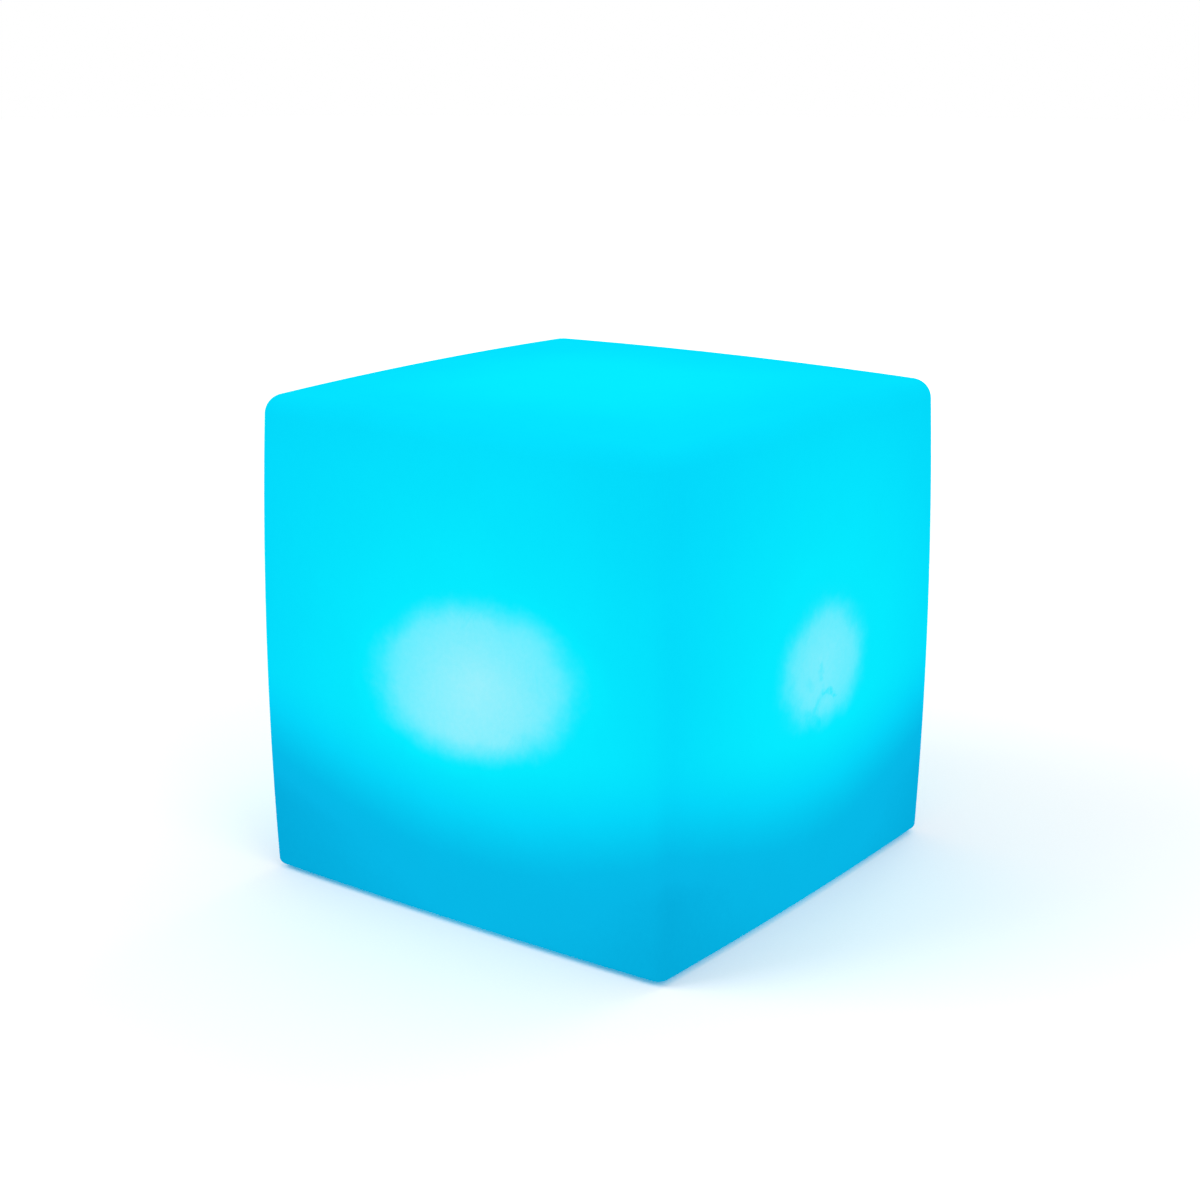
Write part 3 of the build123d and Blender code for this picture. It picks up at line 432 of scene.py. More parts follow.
def shell_tone(tree, place):
    """The tone of the clean shell: its walls, its top, its floor and the pocket in it."""
    at = split(tree, place)
    share = wall_shares(tree, at)
    waver = swing(tree, noise(tree, place, 75.0, 3.0, 0.6), 2.0 * patch_waver)
    walls = []
    for axis, across, patch in (("Y", "X", wide_patch), ("X", "Y", narrow_patch)):
        glow = use(tree, side_glow, Across=at[across], Height=at["Z"], Waver=waver, **patch)
        walls.append(calc(tree, "MULTIPLY", glow["Tone"], share[axis]))

    # the top's tone follows rounded squares round its middle
    fourths = [calc(tree, "POWER", calc(tree, "ABSOLUTE", at[axis]), 4.0) for axis in "XY"]
    reach = calc(tree, "POWER", calc(tree, "ADD", *fourths), 0.25)
    top = remap(tree, reach, *top_fades, top_tone, top_tone - top_fade)
    tone = calc(tree, "MULTIPLY_ADD", top, share["Z"], calc(tree, "ADD", *walls))

    out = from_middle(tree, at["X"], at["Y"])
    floor = remap(tree, out, *floor_fades, floor_tone, 0.0)
    tone = calc(tree, "MULTIPLY_ADD", floor, share["foot"], tone)
    inside_lip = remap(tree, out, *pocket_lip, 1.0, 0.0)
    leak = remap(tree, at["Z"], *pocket_heights, pocket_tone, 0.0)
    return calc(tree, "MAXIMUM", tone, calc(tree, "MULTIPLY", inside_lip, leak))


def cyan_light(tree, tone):
    """The colour of the glow for a tone: through the cyans, then towards white."""
    ramp = add(tree, "ShaderNodeValToRGB", {"Fac": tone})
    ramp.color_ramp.interpolation = "LINEAR"
    stops = ramp.color_ramp.elements
    for index, (position, colour) in enumerate(cyan_steps):
        stop = stops[index] if index < 2 else stops.new(position)  # a new ramp has two stops
        stop.position = position
        stop.color = opaque(linear(colour))
    over = remap(tree, tone, white_starts, 1.0, kind="LINEAR")
    whiter = calc(tree, "POWER", over, white_curve)
    glow = mixed(tree, whiter, ramp.outputs["Color"], linear(patch_white))
    return mixed(tree, 1.0, glow, shell_skin, "SUBTRACT")


def lit_diffuser():
    """Milky moulded skin, lit from inside."""
    material, tree = start("lit_diffuser")
    place = here(tree)
    clouds = swing(tree, noise(tree, place, 22.0, 3.0, 0.55), cloud_spread)
    specks = swing(tree, noise(tree, place, 420.0, 2.0, 0.6), speck_spread)
    marks = use(tree, handling_marks, Scale=26.0, Share=0.5)["Mask"]
    worn = calc(tree, "MULTIPLY", marks, mark_darkens)
    for first, last, width, strength in scuff_lines:
        points = {"From": (scuff_wall, *first), "To": (scuff_wall, *last)}
        drawn = use(tree, scuff, Width=width, **points)["Mask"]
        worn = calc(tree, "MAXIMUM", worn, calc(tree, "MULTIPLY", drawn, strength))
    uneven = calc(tree, "ADD", shell_tone(tree, place), calc(tree, "ADD", clouds, specks))
    light = cyan_light(tree, calc(tree, "SUBTRACT", uneven, worn, clamp=True))
    grain = use(tree, moulded_grain, Colour=opaque(shell_skin), Shade=0.93, Patch_Scale=26.0,
                Grain_Scale=900.0, Roughness=0.46, Roughness_Spread=0.16)
    sunk = calc(tree, "MULTIPLY_ADD", worn, wear_depth, marks)
    height = calc(tree, "SUBTRACT", grain["Height"], sunk)
    finish(tree, grain["Colour"], grain["Roughness"], height=height, depth=0.05 * mm,
           Emission_Color=light, Emission_Strength=1.0, Specular_IOR_Level=0.0)
    return material


# ------------------------------------------------------- mouldings and rubber
def moulding(name, colour, roughness, dust):
    """Satin moulded plastic with a fine spark-textured grain."""
    material, tree = start(name)
    grain = use(tree, moulded_grain, Colour=opaque(colour), Shade=0.95, Patch_Scale=55.0,
                Grain_Scale=2200.0, Roughness=roughness, Roughness_Spread=0.14)
    dusty = use(tree, settled_dust, Colour=grain["Colour"], Amount=dust)
    marks = use(tree, handling_marks, Scale=45.0, Share=0.6)["Mask"]
    height = calc(tree, "SUBTRACT", grain["Height"], marks)
    finish(tree, dusty["Colour"], grain["Roughness"], height=height, depth=0.04 * mm)
    return material


def rubber(name, colour, roughness):
    """Soft rubber with a bloom on it."""
    material, tree = start(name)
    grain = use(tree, moulded_grain, Colour=opaque(colour), Shade=0.8, Patch_Scale=80.0,
                Grain_Scale=3200.0, Roughness=roughness, Roughness_Spread=0.12)
    dusty = use(tree, settled_dust, Colour=grain["Colour"], Amount=0.16)
    finish(tree, dusty["Colour"], grain["Roughness"], height=grain["Height"], depth=0.03 * mm,
           Specular_IOR_Level=0.35)
    return material


# ------------------------------------------------------- metals
def metal(name, colour, roughness, draw, depth):
    """Drawn or turned metal, with fine lines along one direction."""
    material, tree = start(name)
    lines = noise(tree, stretched(tree, here(tree), draw), 240.0, 3.0, 0.6)
    grain = use(tree, moulded_grain, Colour=opaque(colour), Shade=0.86, Patch_Scale=160.0,
                Grain_Scale=4000.0, Roughness=roughness, Roughness_Spread=0.2)
    rough = calc(tree, "ADD", grain["Roughness"], swing(tree, lines, 0.18))
    finish(tree, grain["Colour"], rough, 1.0, height=lines, depth=depth)
    return material


def welded_strip():
    """Nickel strip with small weld marks, nearly evenly spaced."""
    material, tree = start("nickel_strip")
    place = here(tree)
    welds = dots(tree, place, 420.0, 0.15, 0.16, 0.24)
    lines = noise(tree, stretched(tree, place, (1.0, 0.1, 1.0)), 900.0, 2.0)
    burnt = calc(tree, "MULTIPLY", welds, 0.6)
    colour = mixed(tree, burnt, (0.66, 0.65, 0.62), (0.30, 0.27, 0.24))
    rough = calc(tree, "MULTIPLY_ADD", lines, 0.2, 0.2)
    height = calc(tree, "SUBTRACT", lines, welds)
    finish(tree, colour, rough, 1.0, height=height, depth=0.03 * mm)
    return material


# ------------------------------------------------------- boards, battery and leads
def printed_board(name, mask, copper, pads):
    """Circuit board: solder mask over a routed copper pattern, with small bare pads."""
    material, tree = start(name)
    place = here(tree)
    given = {"Vector": place, "Scale": 230.0, "Randomness": 0.35}
    cells = add(tree, "ShaderNodeTexVoronoi", given, feature="DISTANCE_TO_EDGE")
    routes = remap(tree, cells.outputs["Distance"], 0.05, 0.09, 1.0, 0.0)
    vias = dots(tree, place, 330.0, 0.5, 0.14, 0.18)
    routed = mixed(tree, calc(tree, "MULTIPLY", routes, 0.7), mask, copper)
    colour = mixed(tree, vias, routed, pads)
    rough = calc(tree, "MULTIPLY_ADD", vias, -0.1, 0.36)
    height = calc(tree, "MAXIMUM", routes, vias)
    finish(tree, colour, rough, calc(tree, "MULTIPLY", vias, 0.9), height=height, depth=0.03 * mm)
    return material


def cell_sleeve():
    """Shrunk plastic sleeve over a steel can, faintly wrinkled round its ends."""
    wrinkled = (28.5 * mm, 31.5 * mm)  # from the middle of the cell, along it
    sleeve_ends = (32.15 * mm, 32.3 * mm)
    material, tree = start("cell_sleeve")
    place = here(tree)
    along = calc(tree, "ABSOLUTE", split(tree, place)["X"])
    bare = remap(tree, along, *sleeve_ends)
    blue = mixed(tree, noise(tree, place, 60.0), (0.035, 0.15, 0.40), (0.06, 0.22, 0.50))
    colour = mixed(tree, bare, blue, (0.55, 0.55, 0.53))
    wrinkles = noise(tree, stretched(tree, place, (0.25, 1.0, 1.0)), 700.0, 3.0)
    tightness = calc(tree, "MULTIPLY_ADD", remap(tree, along, *wrinkled), 0.85, 0.15)
    height = calc(tree, "MULTIPLY", wrinkles, tightness)
    rough = calc(tree, "MULTIPLY_ADD", noise(tree, place, 120.0), 0.15, 0.24)
    finish(tree, colour, rough, bare, height=height, depth=0.08 * mm)
    return material


def insulated(name, colour, across, spacing):
    """Soft insulation on a lead, or over a ribbon's row of conductors, with painted shade darkening
    the grooves between its ridges.
    """
    material, tree = start(name)
    grain = use(tree, moulded_grain, Colour=opaque(colour), Shade=0.85, Patch_Scale=120.0,
                Grain_Scale=2600.0, Roughness=0.42, Roughness_Spread=0.1)
    row = calc(tree, "MULTIPLY", split(tree, here(tree))[across], math.pi / spacing)
    ridges = calc(tree, "ABSOLUTE", calc(tree, "SINE", row))
    # painted shade: the grooves between the ridges are darkened towards grey-black
    groove_shade = calc(tree, "MULTIPLY", calc(tree, "SUBTRACT", 1.0, ridges), 0.35)
    shaded = mixed(tree, groove_shade, grain["Colour"], (0.1, 0.1, 0.1))
    finish(tree, shaded, grain["Roughness"], height=ridges, depth=0.15 * mm)
    return material


# ------------------------------------------------------- chips, windows and the dome
def lit_chip():
    """Light-emitting chip, switched on: a pale body round a bright cyan face."""
    material, tree = start("lit_chip")
    cloud = noise(tree, here(tree), 900.0, 2.0)
    light = mixed(tree, cloud, (0.01, 0.62, 0.95), (0.16, 0.88, 1.0))
    finish(tree, (0.30, 0.62, 0.68), calc(tree, "MULTIPLY_ADD", cloud, 0.2, 0.25),
           Emission_Color=light, Emission_Strength=1.0)
    return material


def dark_window():
    """Deep red-black window that lets only infrared through."""
    material, tree = start("dark_window")
    haze = noise(tree, here(tree), 500.0, 3.0)
    colour = mixed(tree, haze, (0.020, 0.008, 0.012), (0.045, 0.016, 0.022))
    rough = calc(tree, "MULTIPLY_ADD", haze, 0.12, 0.08)
    finish(tree, colour, rough, height=haze, depth=0.01 * mm)
    return material


def clear_moulding(name, tint, roughness):
    """Clear acrylic, with the faint flow that keeps it from looking empty."""
    acrylic_ior = 1.49
    material, tree = start(name)
    flow = noise(tree, stretched(tree, here(tree), (1.0, 1.0, 0.4)), 60.0, 3.0)
    colour = mixed(tree, flow, tint, tuple(0.94 * part for part in tint))
    rough = calc(tree, "MULTIPLY_ADD", flow, 0.08, roughness)
    finish(tree, colour, rough, height=flow, depth=0.05 * mm,
           Transmission_Weight=1.0, IOR=acrylic_ior)
    return material


bare_pads = (0.72, 0.70, 0.62)
green_mask, green_copper = (0.010, 0.14, 0.045), (0.03, 0.28, 0.09)
white_mask, white_copper = (0.82, 0.83, 0.82), (0.74, 0.76, 0.76)
lathe_lines, brass_lines, drawn_lines = (1.0, 1.0, 9.0), (1.0, 1.0, 14.0), (8.0, 8.0, 0.4)
finishes = {
    "lit_diffuser": lit_diffuser(),
    "white_moulding": moulding("white_moulding", (0.80, 0.81, 0.80), 0.48, 0.10),
    "black_moulding": moulding("black_moulding", (0.030, 0.030, 0.033), 0.42, 0.06),
    "grey_rubber": rubber("grey_rubber", (0.15, 0.16, 0.17), 0.72),
    "black_rubber": rubber("black_rubber", (0.018, 0.018, 0.019), 0.6),
    "stainless": metal("stainless", (0.62, 0.62, 0.60), 0.30, lathe_lines, 0.02 * mm),
    "turned_brass": metal("turned_brass", (0.78, 0.57, 0.25), 0.26, brass_lines, 0.03 * mm),
    "nickel_strip": welded_strip(),
    "bare_aluminium": metal("bare_aluminium", (0.75, 0.76, 0.77), 0.36, drawn_lines, 0.04 * mm),
    "green_board": printed_board("green_board", green_mask, green_copper, bare_pads),
    "white_board": printed_board("white_board", white_mask, white_copper, bare_pads),
    "cell_sleeve": cell_sleeve(),
    "red_lead": insulated("red_lead", (0.55, 0.025, 0.02), "Z", 20 * mm),
    "grey_ribbon": insulated("grey_ribbon", (0.46, 0.47, 0.49), "X", 1.25 * mm),
    "lit_chip": lit_chip(),
    "dark_window": dark_window(),
    "clear_pipe": clear_moulding("clear_pipe", (0.86, 0.90, 0.90), 0.10),
    "clear_dome": clear_moulding("clear_dome", (0.93, 0.97, 0.98), 0.03),
}
pale_mark = rubber("pale_mark", (0.60, 0.61, 0.62), 0.62)
tan_ceramic = moulding("tan_ceramic", (0.46, 0.36, 0.24), 0.5, 0.05)
for part in frame["record"]["subparts"]:
    node = frame["nodes"][part["node"]]
    for slot in node.material_slots:
        slot.material = finishes[part["material_slot"]]


# ------------------------------------------------------- making of small pieces
crisp_from = 40  # the angle between two faces from which their edge stays crisp


def piece(name, form, slot, body="lamp", looks=None):
    """A finished piece from its mesh, riding on a body, in its slot's finish unless told else."""
    bmesh.ops.recalc_face_normals(form, faces=form.faces[:])
    mesh = bpy.data.meshes.new(name)
    form.to_mesh(mesh)
    form.free()
    made = bpy.data.objects.new(name, mesh)
    bpy.context.scene.collection.objects.link(made)
    for look in looks or [finishes[slot]]:
        mesh.materials.append(look)
    mesh.shade_smooth()
    mesh.set_sharp_from_angle(angle=math.radians(crisp_from))
    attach(made, body)


def block(form, middle, size, edge, look=0):
    """A small block with softened edges."""
    placed = Matrix.Translation(middle) @ Matrix.Diagonal((*size, 1))
    made = bmesh.ops.create_cube(form, size=1.0, matrix=placed)
    faces = {face for point in made["verts"] for face in point.link_faces}
    for face in faces:
        face.material_index = look
    edges = {line for point in made["verts"] for line in point.link_edges}
    bmesh.ops.bevel(form, geom=list(edges), offset=edge, segments=2, affect="EDGES", profile=0.5)


def turned(form, outline, place, sides, looks=(0,)):
    """A closed round piece from half its outline, as (radius, height) pairs, set upright at a
    place. An outline that starts off the axis closes on itself as a ring. Each of its stretches
    takes the next of the looks, and the last look holds for the rest."""
    turns = [2 * math.pi * step / sides for step in range(sides)]
    rings = []
    for radius, height in outline:
        if radius == 0:
            points = [Vector((0, 0, height))]
        else:
            points = [Vector((radius * math.cos(t), radius * math.sin(t), height)) for t in turns]
        rings.append([form.verts.new(place @ point) for point in points])
    ends = rings[1:] if len(rings[0]) == 1 else rings[1:] + rings[:1]
    for index, (low, high) in enumerate(zip(rings, ends)):
        for step in range(sides):
            after = (step + 1) % sides
            corners = [low[step % len(low)], low[after % len(low)],
                       high[after % len(high)], high[step % len(high)]]
            kept = list(dict.fromkeys(corners))
            if len(kept) > 2:
                form.faces.new(kept).material_index = looks[min(index, len(looks) - 1)]


def bead(form, points, thickness, closed=False, sides=8):
    """A round bead along points, closed to a ring, or with blunt ends."""
    steep = 0.9  # how much a bead may climb before its sides are found another way
    upright = Vector((0, 0, 1))
    turns = [2 * math.pi * step / sides for step in range(sides)]
    count = len(points)
    rings = []
    for index, point in enumerate(points):
        before = points[index - 1] if index or closed else point
        after = points[(index + 1) % count] if index + 1 < count or closed else point
        ahead = (after - before).normalized()
        side = ahead.orthogonal() if abs(ahead.z) > steep else ahead.cross(upright)
        side.normalize()
        lift = side.cross(ahead)
        ring = [point + (side * math.cos(t) + lift * math.sin(t)) * thickness / 2 for t in turns]
        rings.append([form.verts.new(corner) for corner in ring])
    for low, high in zip(rings, rings[1:] + rings[:1] if closed else rings[1:]):
        for step in range(sides):
            after = (step + 1) % sides
            form.faces.new((low[step], low[after], high[after], high[step]))
    if not closed:
        for ring in (rings[0], rings[-1]):
            form.faces.new(ring)


def ring_bead(form, radius, height, thickness, middle=(0.0, 0.0), steps=64):
    """A level round bead round a middle."""
    turns = [math.radians(360 * step / steps) for step in range(steps)]
    points = [(middle[0] + radius * math.cos(t), middle[1] + radius * math.sin(t), height)
              for t in turns]
    bead(form, [Vector(point) for point in points], thickness, closed=True)


# ------------------------------------------------------- underside: buttons, door and plate
button_places = {"power_button": (-18 * mm, 12 * mm), "mode_button": (18 * mm, 12 * mm)}
socket_place = (0, -20 * mm)
button_face = 3.3 * mm  # height of the rim of each button's face
button_crown = 0.35 * mm  # how far the face domes out at its middle
button_radius = 4.3 * mm


def on_button(across, along):
    """A point on a button's domed face, from its middle."""
    share = (across**2 + along**2) / button_radius**2
    return Vector((across, along, button_face - button_crown * (1 - share)))


def power_mark():
    """The usual on and off mark, raised on the rubber: an open ring with a bar in its gap."""
    radius, thickness = 1.95 * mm, 0.46 * mm
    ring_starts, ring_spans, ring_steps = 125, 290, 40
    bar_starts, bar_step, bar_points = 0.5, 0.26, 9
    middle = Vector((*button_places["power_button"], 0))
    steps = range(ring_steps + 1)
    turns = [math.radians(ring_starts + ring_spans * step / ring_steps) for step in steps]
    ring = [on_button(radius * math.cos(t), radius * math.sin(t)) for t in turns]
    bar = [on_button(0, (bar_starts + bar_step * step) * mm) for step in range(bar_points)]
    form = bmesh.new()
    for line in (ring, bar):
        bead(form, [middle + point for point in line], thickness)
    piece("power_mark", form, "white_moulding", "power_button", [pale_mark])


def mode_mark():
    """Three raised dots that stand for the colours."""
    from_centre = 1.5 * mm
    dome = [(0, 0.05 * mm), (0.62 * mm, 0.05 * mm), (0.6 * mm, -0.04 * mm),
            (0.45 * mm, -0.14 * mm), (0.2 * mm, -0.19 * mm), (0, -0.2 * mm)]
    middle = Vector((*button_places["mode_button"], 0))
    form = bmesh.new()
    for turn in (90, 210, 330):
        angle = math.radians(turn)
        spot = on_button(from_centre * math.cos(angle), from_centre * math.sin(angle))
        turned(form, dome, Matrix.Translation(middle + spot), 24)
    piece("mode_mark", form, "white_moulding", "mode_button", [pale_mark])


def door_ribs():
    """Short ribs for a fingertip, across the door near its lip, longer towards the free end."""
    rows, steps = 4, 8
    first_half, longer_by = 2.2, 0.9  # in millimetres, as the places of the rows
    first_row, row_step = -27.2, -1.3
    height, thickness = 5.22 * mm, 0.6 * mm
    form = bmesh.new()
    for row in range(rows):
        half = (first_half + longer_by * row) * mm
        along = (first_row + row_step * row) * mm
        points = [Vector((half * step / steps, along, height)) for step in range(-steps, steps + 1)]
        bead(form, points, thickness)
    piece("door_ribs", form, "white_moulding", "port_door")


def plate_beads():
    """Two fine raised rings moulded on the plate, outside and inside the row of screws."""
    form = bmesh.new()
    for radius in (63.0 * mm, 50.0 * mm):
        ring_bead(form, radius, 7.52 * mm, 0.5 * mm, steps=180)
    piece("plate_beads", form, "white_moulding")


def bezel_beads():
    """A fine ring on each switch's bezel, and one on the socket's flange."""
    form = bmesh.new()
    for middle in button_places.values():
        ring_bead(form, 6.2 * mm, 4.92 * mm, 0.32 * mm, middle)
    ring_bead(form, 5.6 * mm, 7.82 * mm, 0.3 * mm, socket_place)
    piece("bezel_beads", form, "black_moulding")


# ------------------------------------------------------- inside: threads, lenses and board
def thread(form, diameter, bottom, top, middle):
    """A fine screw thread standing on a plain barrel."""
    pitch = 0.75 * mm
    ridge = 0.55  # its thickness, as a share of the pitch
    steps_in_turn = 40
    turns = (top - bottom) / pitch
    steps = int(turns * steps_in_turn)
    points = []
    for step in range(steps + 1):
        turn = 2 * math.pi * turns * step / steps
        across = middle[0] + diameter / 2 * math.cos(turn)
        along = middle[1] + diameter / 2 * math.sin(turn)
        points.append(Vector((across, along, bottom + (top - bottom) * step / steps)))
    bead(form, points, pitch * ridge, sides=6)


def panel_threads():
    """The threads of the socket and of both switches, above their nuts."""
    form = bmesh.new()
    thread(form, 11.0 * mm, 15.7 * mm, 18.6 * mm, socket_place)
    for middle in button_places.values():
        thread(form, 11.8 * mm, 14.3 * mm, 18.2 * mm, middle)
    piece("panel_threads", form, "black_moulding")


def chip_lens(form, place):
    """The round window of a chip: a pale rim round a low lit dome."""
    rim = [(0, -0.05), (2.15, -0.05), (2.15, 0.1), (1.95, 0.16)]  # in millimetres
    dome = [(1.8, 0.1), (1.55, 0.24), (1.05, 0.36), (0.5, 0.42), (0, 0.44)]
    outline = [(radius * mm, height * mm) for radius, height in rim + dome]
    turned(form, outline, place, 28, [0] * len(rim) + [1])


def chip_lenses():
    """A lens on every chip, board by board."""
    looks = [finishes["white_board"], finishes["lit_chip"]]
    rows = (96.0 * mm, 106.0 * mm)
    long_row, long_face = (-11 * mm, 0.0, 11 * mm), 8.7 * mm
    short_row, short_face = (0.0,), 20.7 * mm
    top_row, top_face = (-11 * mm, 11 * mm), 114.7 * mm
    sides = (
        ("front", 0, long_row, long_face),
        ("right", 90, short_row, short_face),
        ("rear", 180, long_row, long_face),
        ("left", 270, short_row, short_face),
    )
    outwards = Matrix.Rotation(math.radians(90), 4, "X")
    for name, turn, chips, distance in sides:
        form = bmesh.new()
        around = Matrix.Rotation(math.radians(turn), 4, "Z")
        for across in chips:
            for row in rows:
                placed = Matrix.Translation((across, -distance, row)) @ outwards
                chip_lens(form, around @ placed)
        piece(name + "_chip_lenses", form, "lit_chip", looks=looks)
    form = bmesh.new()
    for across in top_row:
        chip_lens(form, Matrix.Translation((across, 0, top_face)))
    piece("top_chip_lenses", form, "lit_chip", looks=looks)


def small_components():
    """Resistors and capacitors on both faces of the control board, each with its bright ends."""
    board_faces = (27.0 * mm, 28.6 * mm)
    over = ((-14, 24), (-11, 24), (-8, 24), (8, 24), (11, 24), (14, 24), (-14, -24), (-11, -24),
            (11, -24), (14, -24), (-31, 8), (-31, 5), (-31, -5), (-31, -8), (31, -14), (-12, 31),
            (12, 31), (-12, -31), (12, -31))
    under = ((-12, 0), (-9, 0), (-6, 0), (6, 0), (9, 0), (12, 0), (-15, -6), (15, -3), (-28, 4),
             (28, 4), (-8, 22), (8, 22), (-8, 33), (8, 33), (30, -14), (-30, -14), (0, 4), (0, 0),
             (26, -18))
    heights = (0.5 * mm, 0.75 * mm, 1.0 * mm)  # one after the other
    body, body_edge = (1.1 * mm, 0.9 * mm), 0.06 * mm
    cap, cap_edge, cap_place = (0.32 * mm, 0.92 * mm), 0.05 * mm, 0.68 * mm
    cap_taller = 1.02
    form = bmesh.new()
    for level, way, places in ((board_faces[1], 1, over), (board_faces[0], -1, under)):
        for index, (across, along) in enumerate(places):
            tall = heights[index % len(heights)]
            middle = Vector((across * mm, along * mm, level + way * tall / 2))
            block(form, middle, (*body, tall), body_edge, index % 2)
            for end in (-cap_place, cap_place):
                placed = middle + Vector((end, 0, 0))
                block(form, placed, (*cap, tall * cap_taller), cap_edge, 2)
    looks = [finishes["black_moulding"], tan_ceramic, finishes["nickel_strip"]]
    piece("small_components", form, "black_moulding", looks=looks)


def component_legs():
    """Bright legs on both sides of the control chip and of the driver."""
    chips = (  # middle, width, legs on a side and their pitch, in millimetres
        ((0.0, 28.0), 7.0, 8, 0.8),
        ((22.0, -8.0), 6.0, 4, 1.1),
    )
    height, out = 26.85, 0.35  # in millimetres too
    leg, edge = (0.8 * mm, 0.32 * mm, 0.18 * mm), 0.03 * mm
    form = bmesh.new()
    for middle, width, count, pitch in chips:
        for side in (-1, 1):
            for index in range(count):
                along = middle[1] + (index - (count - 1) / 2) * pitch
                across = middle[0] + side * (width / 2 + out)
                block(form, Vector((across, along, height)) * mm, leg, edge)
    piece("component_legs", form, "nickel_strip")


def coil_winding():
    """Copper turns round the coil under the board."""
    middle, bottom = (-22, -8), 24.2  # in millimetres
    radius, pitch, turns, steps = 3.5, 0.36, 6, 36
    points = []
    for step in range(turns * steps + 1):
        turn = math.radians(360 / steps * step)
        across = middle[0] + radius * math.cos(turn)
        along = middle[1] + radius * math.sin(turn)
        points.append(Vector((across, along, bottom + pitch * step / steps)) * mm)
    form = bmesh.new()
    bead(form, points, 0.34 * mm, sides=6)
    piece("coil_winding", form, "turned_brass")


def connector_pins():
    """The metal pins that show in the open sides of both connectors."""
    connectors = (-30.0, 30.0)  # in millimetres, as the next three
    height, forward, pitch = 29.6, -2.62, 1.5
    pins, pin, edge = 5, (0.5 * mm, 0.4 * mm, 1.6 * mm), 0.05 * mm
    form = bmesh.new()
    for along in connectors:
        for index in range(pins):
            place = Vector(((index - pins // 2) * pitch, along + forward, height)) * mm
            block(form, place, pin, edge)
    piece("connector_pins", form, "nickel_strip")


def cell_rings():
    """Insulating paper rings round the raised contacts of both cells."""
    flat = [(3.3 * mm, -0.02 * mm), (3.3 * mm, 0.16 * mm), (8.0 * mm, 0.16 * mm),
            (8.2 * mm, -0.02 * mm)]
    cell_end, cell_rows, cell_height = 32.5, (-9.35, 9.35), 39.95  # in millimetres
    outwards = Matrix.Rotation(math.radians(90), 4, "Y")
    form = bmesh.new()
    for along in cell_rows:
        place = Vector((cell_end, along, cell_height)) * mm
        turned(form, flat, Matrix.Translation(place) @ outwards, 48)
    piece("cell_rings", form, "white_board", looks=[tan_ceramic])


power_mark()
mode_mark()
door_ribs()
plate_beads()
bezel_beads()
panel_threads()
chip_lenses()
small_components()
component_legs()
coil_winding()
connector_pins()
cell_rings()


# ------------------------------------------------------- floor, light and camera
def seen_share(tree):
    """1 for what is looked at, straight or in metal and glass, and 0 for the light that falls on
    things."""
    ray = add(tree, "ShaderNodeLightPath").outputs
    mirrored = calc(tree, "MAXIMUM", ray["Is Glossy Ray"], ray["Is Transmission Ray"])
    return calc(tree, "MAXIMUM", ray["Is Camera Ray"], mirrored)


def floor_finish():
    """White paper that shows from above and keeps the shadow. Light from under it passes, so that
    the base can be looked at from below."""
    material, tree = start("floor_paper")
    place = here(tree)
    fibres = noise(tree, place, 900.0, 2.0)
    colour = mixed(tree, fibres, (0.90, 0.90, 0.90), (0.93, 0.93, 0.93))
    away = add(tree, "ShaderNodeVectorMath", {0: place}, operation="LENGTH").outputs["Value"]
    glow = remap(tree, away, *floor_whitens, 0.0, floor_glow)
    finish(tree, colour, 0.9, Emission_Color=(1, 1, 1, 1), Emission_Strength=glow,
           Specular_IOR_Level=0.0)
    behind = add(tree, "ShaderNodeNewGeometry").outputs["Backfacing"]
    shown = calc(tree, "MULTIPLY", seen_share(tree), calc(tree, "SUBTRACT", 1.0, behind))
    paper = tree.nodes["Principled BSDF"].outputs["BSDF"]
    clear = add(tree, "ShaderNodeBsdfTransparent").outputs["BSDF"]
    both = add(tree, "ShaderNodeMixShader", {0: shown, 1: clear, 2: paper}).outputs["Shader"]
    feed(tree, tree.nodes["Material Output"].inputs["Surface"], both)
    return material


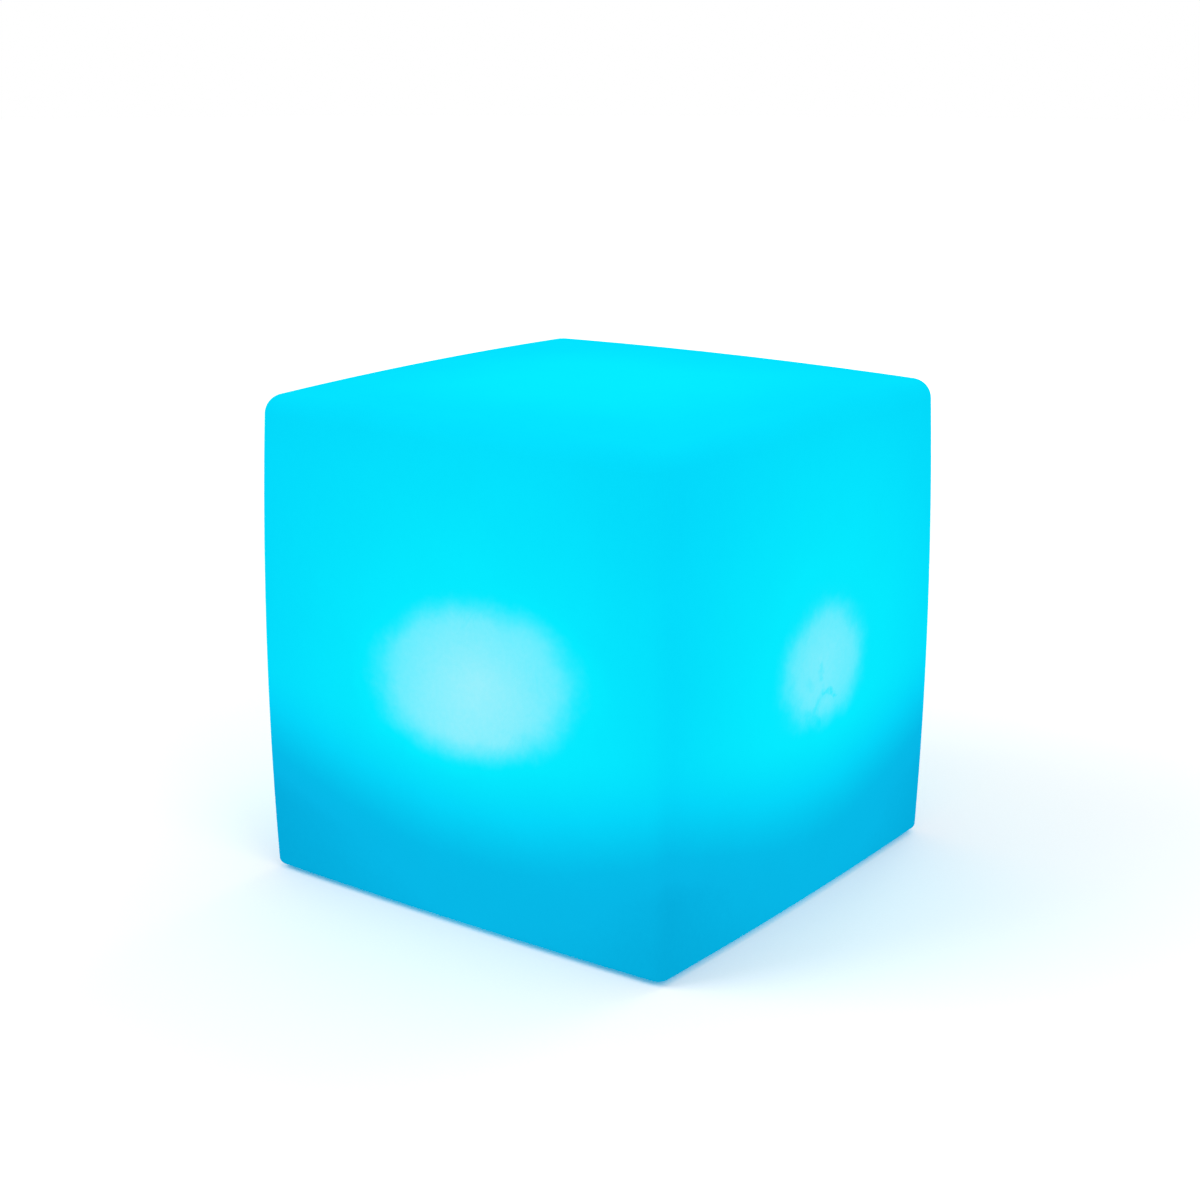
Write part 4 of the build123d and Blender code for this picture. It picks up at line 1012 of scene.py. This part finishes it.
def lay_floor():
    """A wide round floor under the cube."""
    form = bmesh.new()
    bmesh.ops.create_circle(form, cap_ends=True, cap_tris=False, segments=96, radius=floor_radius)
    mesh = bpy.data.meshes.new("paper_floor")
    form.to_mesh(mesh)
    form.free()
    paper = bpy.data.objects.new("paper_floor", mesh)
    bpy.context.scene.collection.objects.link(paper)
    mesh.materials.append(floor_finish())
    paper.location = (0, 0, -floor_gap)


def light_room():
    """Soft even light all round, with a large lamp on each side. What is seen of the room is
    white."""
    world = bpy.data.worlds.new("white_room")
    world.use_nodes = True
    bpy.context.scene.world = world
    tree = world.node_tree
    background = tree.nodes["Background"].inputs
    background["Color"].default_value = (1, 1, 1, 1)
    level = remap(tree, seen_share(tree), 0.0, 1.0, room_level, 1.0, "LINEAR")
    feed(tree, background["Strength"], level)
    for name, place, size, power in softboxes:
        lamp = bpy.data.lights.new(name, "AREA")
        lamp.shape = "SQUARE"
        lamp.size = size
        lamp.energy = power
        holder = bpy.data.objects.new(name, lamp)
        bpy.context.scene.collection.objects.link(holder)
        holder.location = place
        aim = Vector(softbox_aim) - Vector(place)
        holder.rotation_euler = aim.to_track_quat("-Z", "Y").to_euler()


def set_camera():
    """The camera at the photograph's place, from the cube's axis out."""
    angles = (camera_azimuth, camera_elevation, camera_roll)
    turn, lift, roll = (math.radians(angle) for angle in angles)
    forwards = -math.cos(turn) * math.cos(lift)
    back = Vector((math.sin(turn) * math.cos(lift), forwards, math.sin(lift)))
    flat_right = Vector((math.cos(turn), math.sin(turn), 0))
    flat_up = back.cross(flat_right)
    right = flat_right * math.cos(roll) + flat_up * math.sin(roll)
    up = flat_up * math.cos(roll) - flat_right * math.sin(roll)
    aim = Vector((0, 0, camera_aim_height)) + right * camera_aim_right + up * camera_aim_up
    lens = bpy.data.cameras.new("photo_camera")
    lens.sensor_fit = "HORIZONTAL"
    lens.sensor_width = sensor_width
    lens.lens = focal_share * sensor_width
    lens.clip_start = 0.01
    camera = bpy.data.objects.new("photo_camera", lens)
    bpy.context.scene.collection.objects.link(camera)
    axes = Matrix((right, up, back)).transposed().to_4x4()
    camera.matrix_world = Matrix.Translation(aim + back * camera_distance) @ axes
    bpy.context.scene.camera = camera


lay_floor()
light_room()
set_camera()
bpy.context.scene.view_settings.view_transform = "Standard"
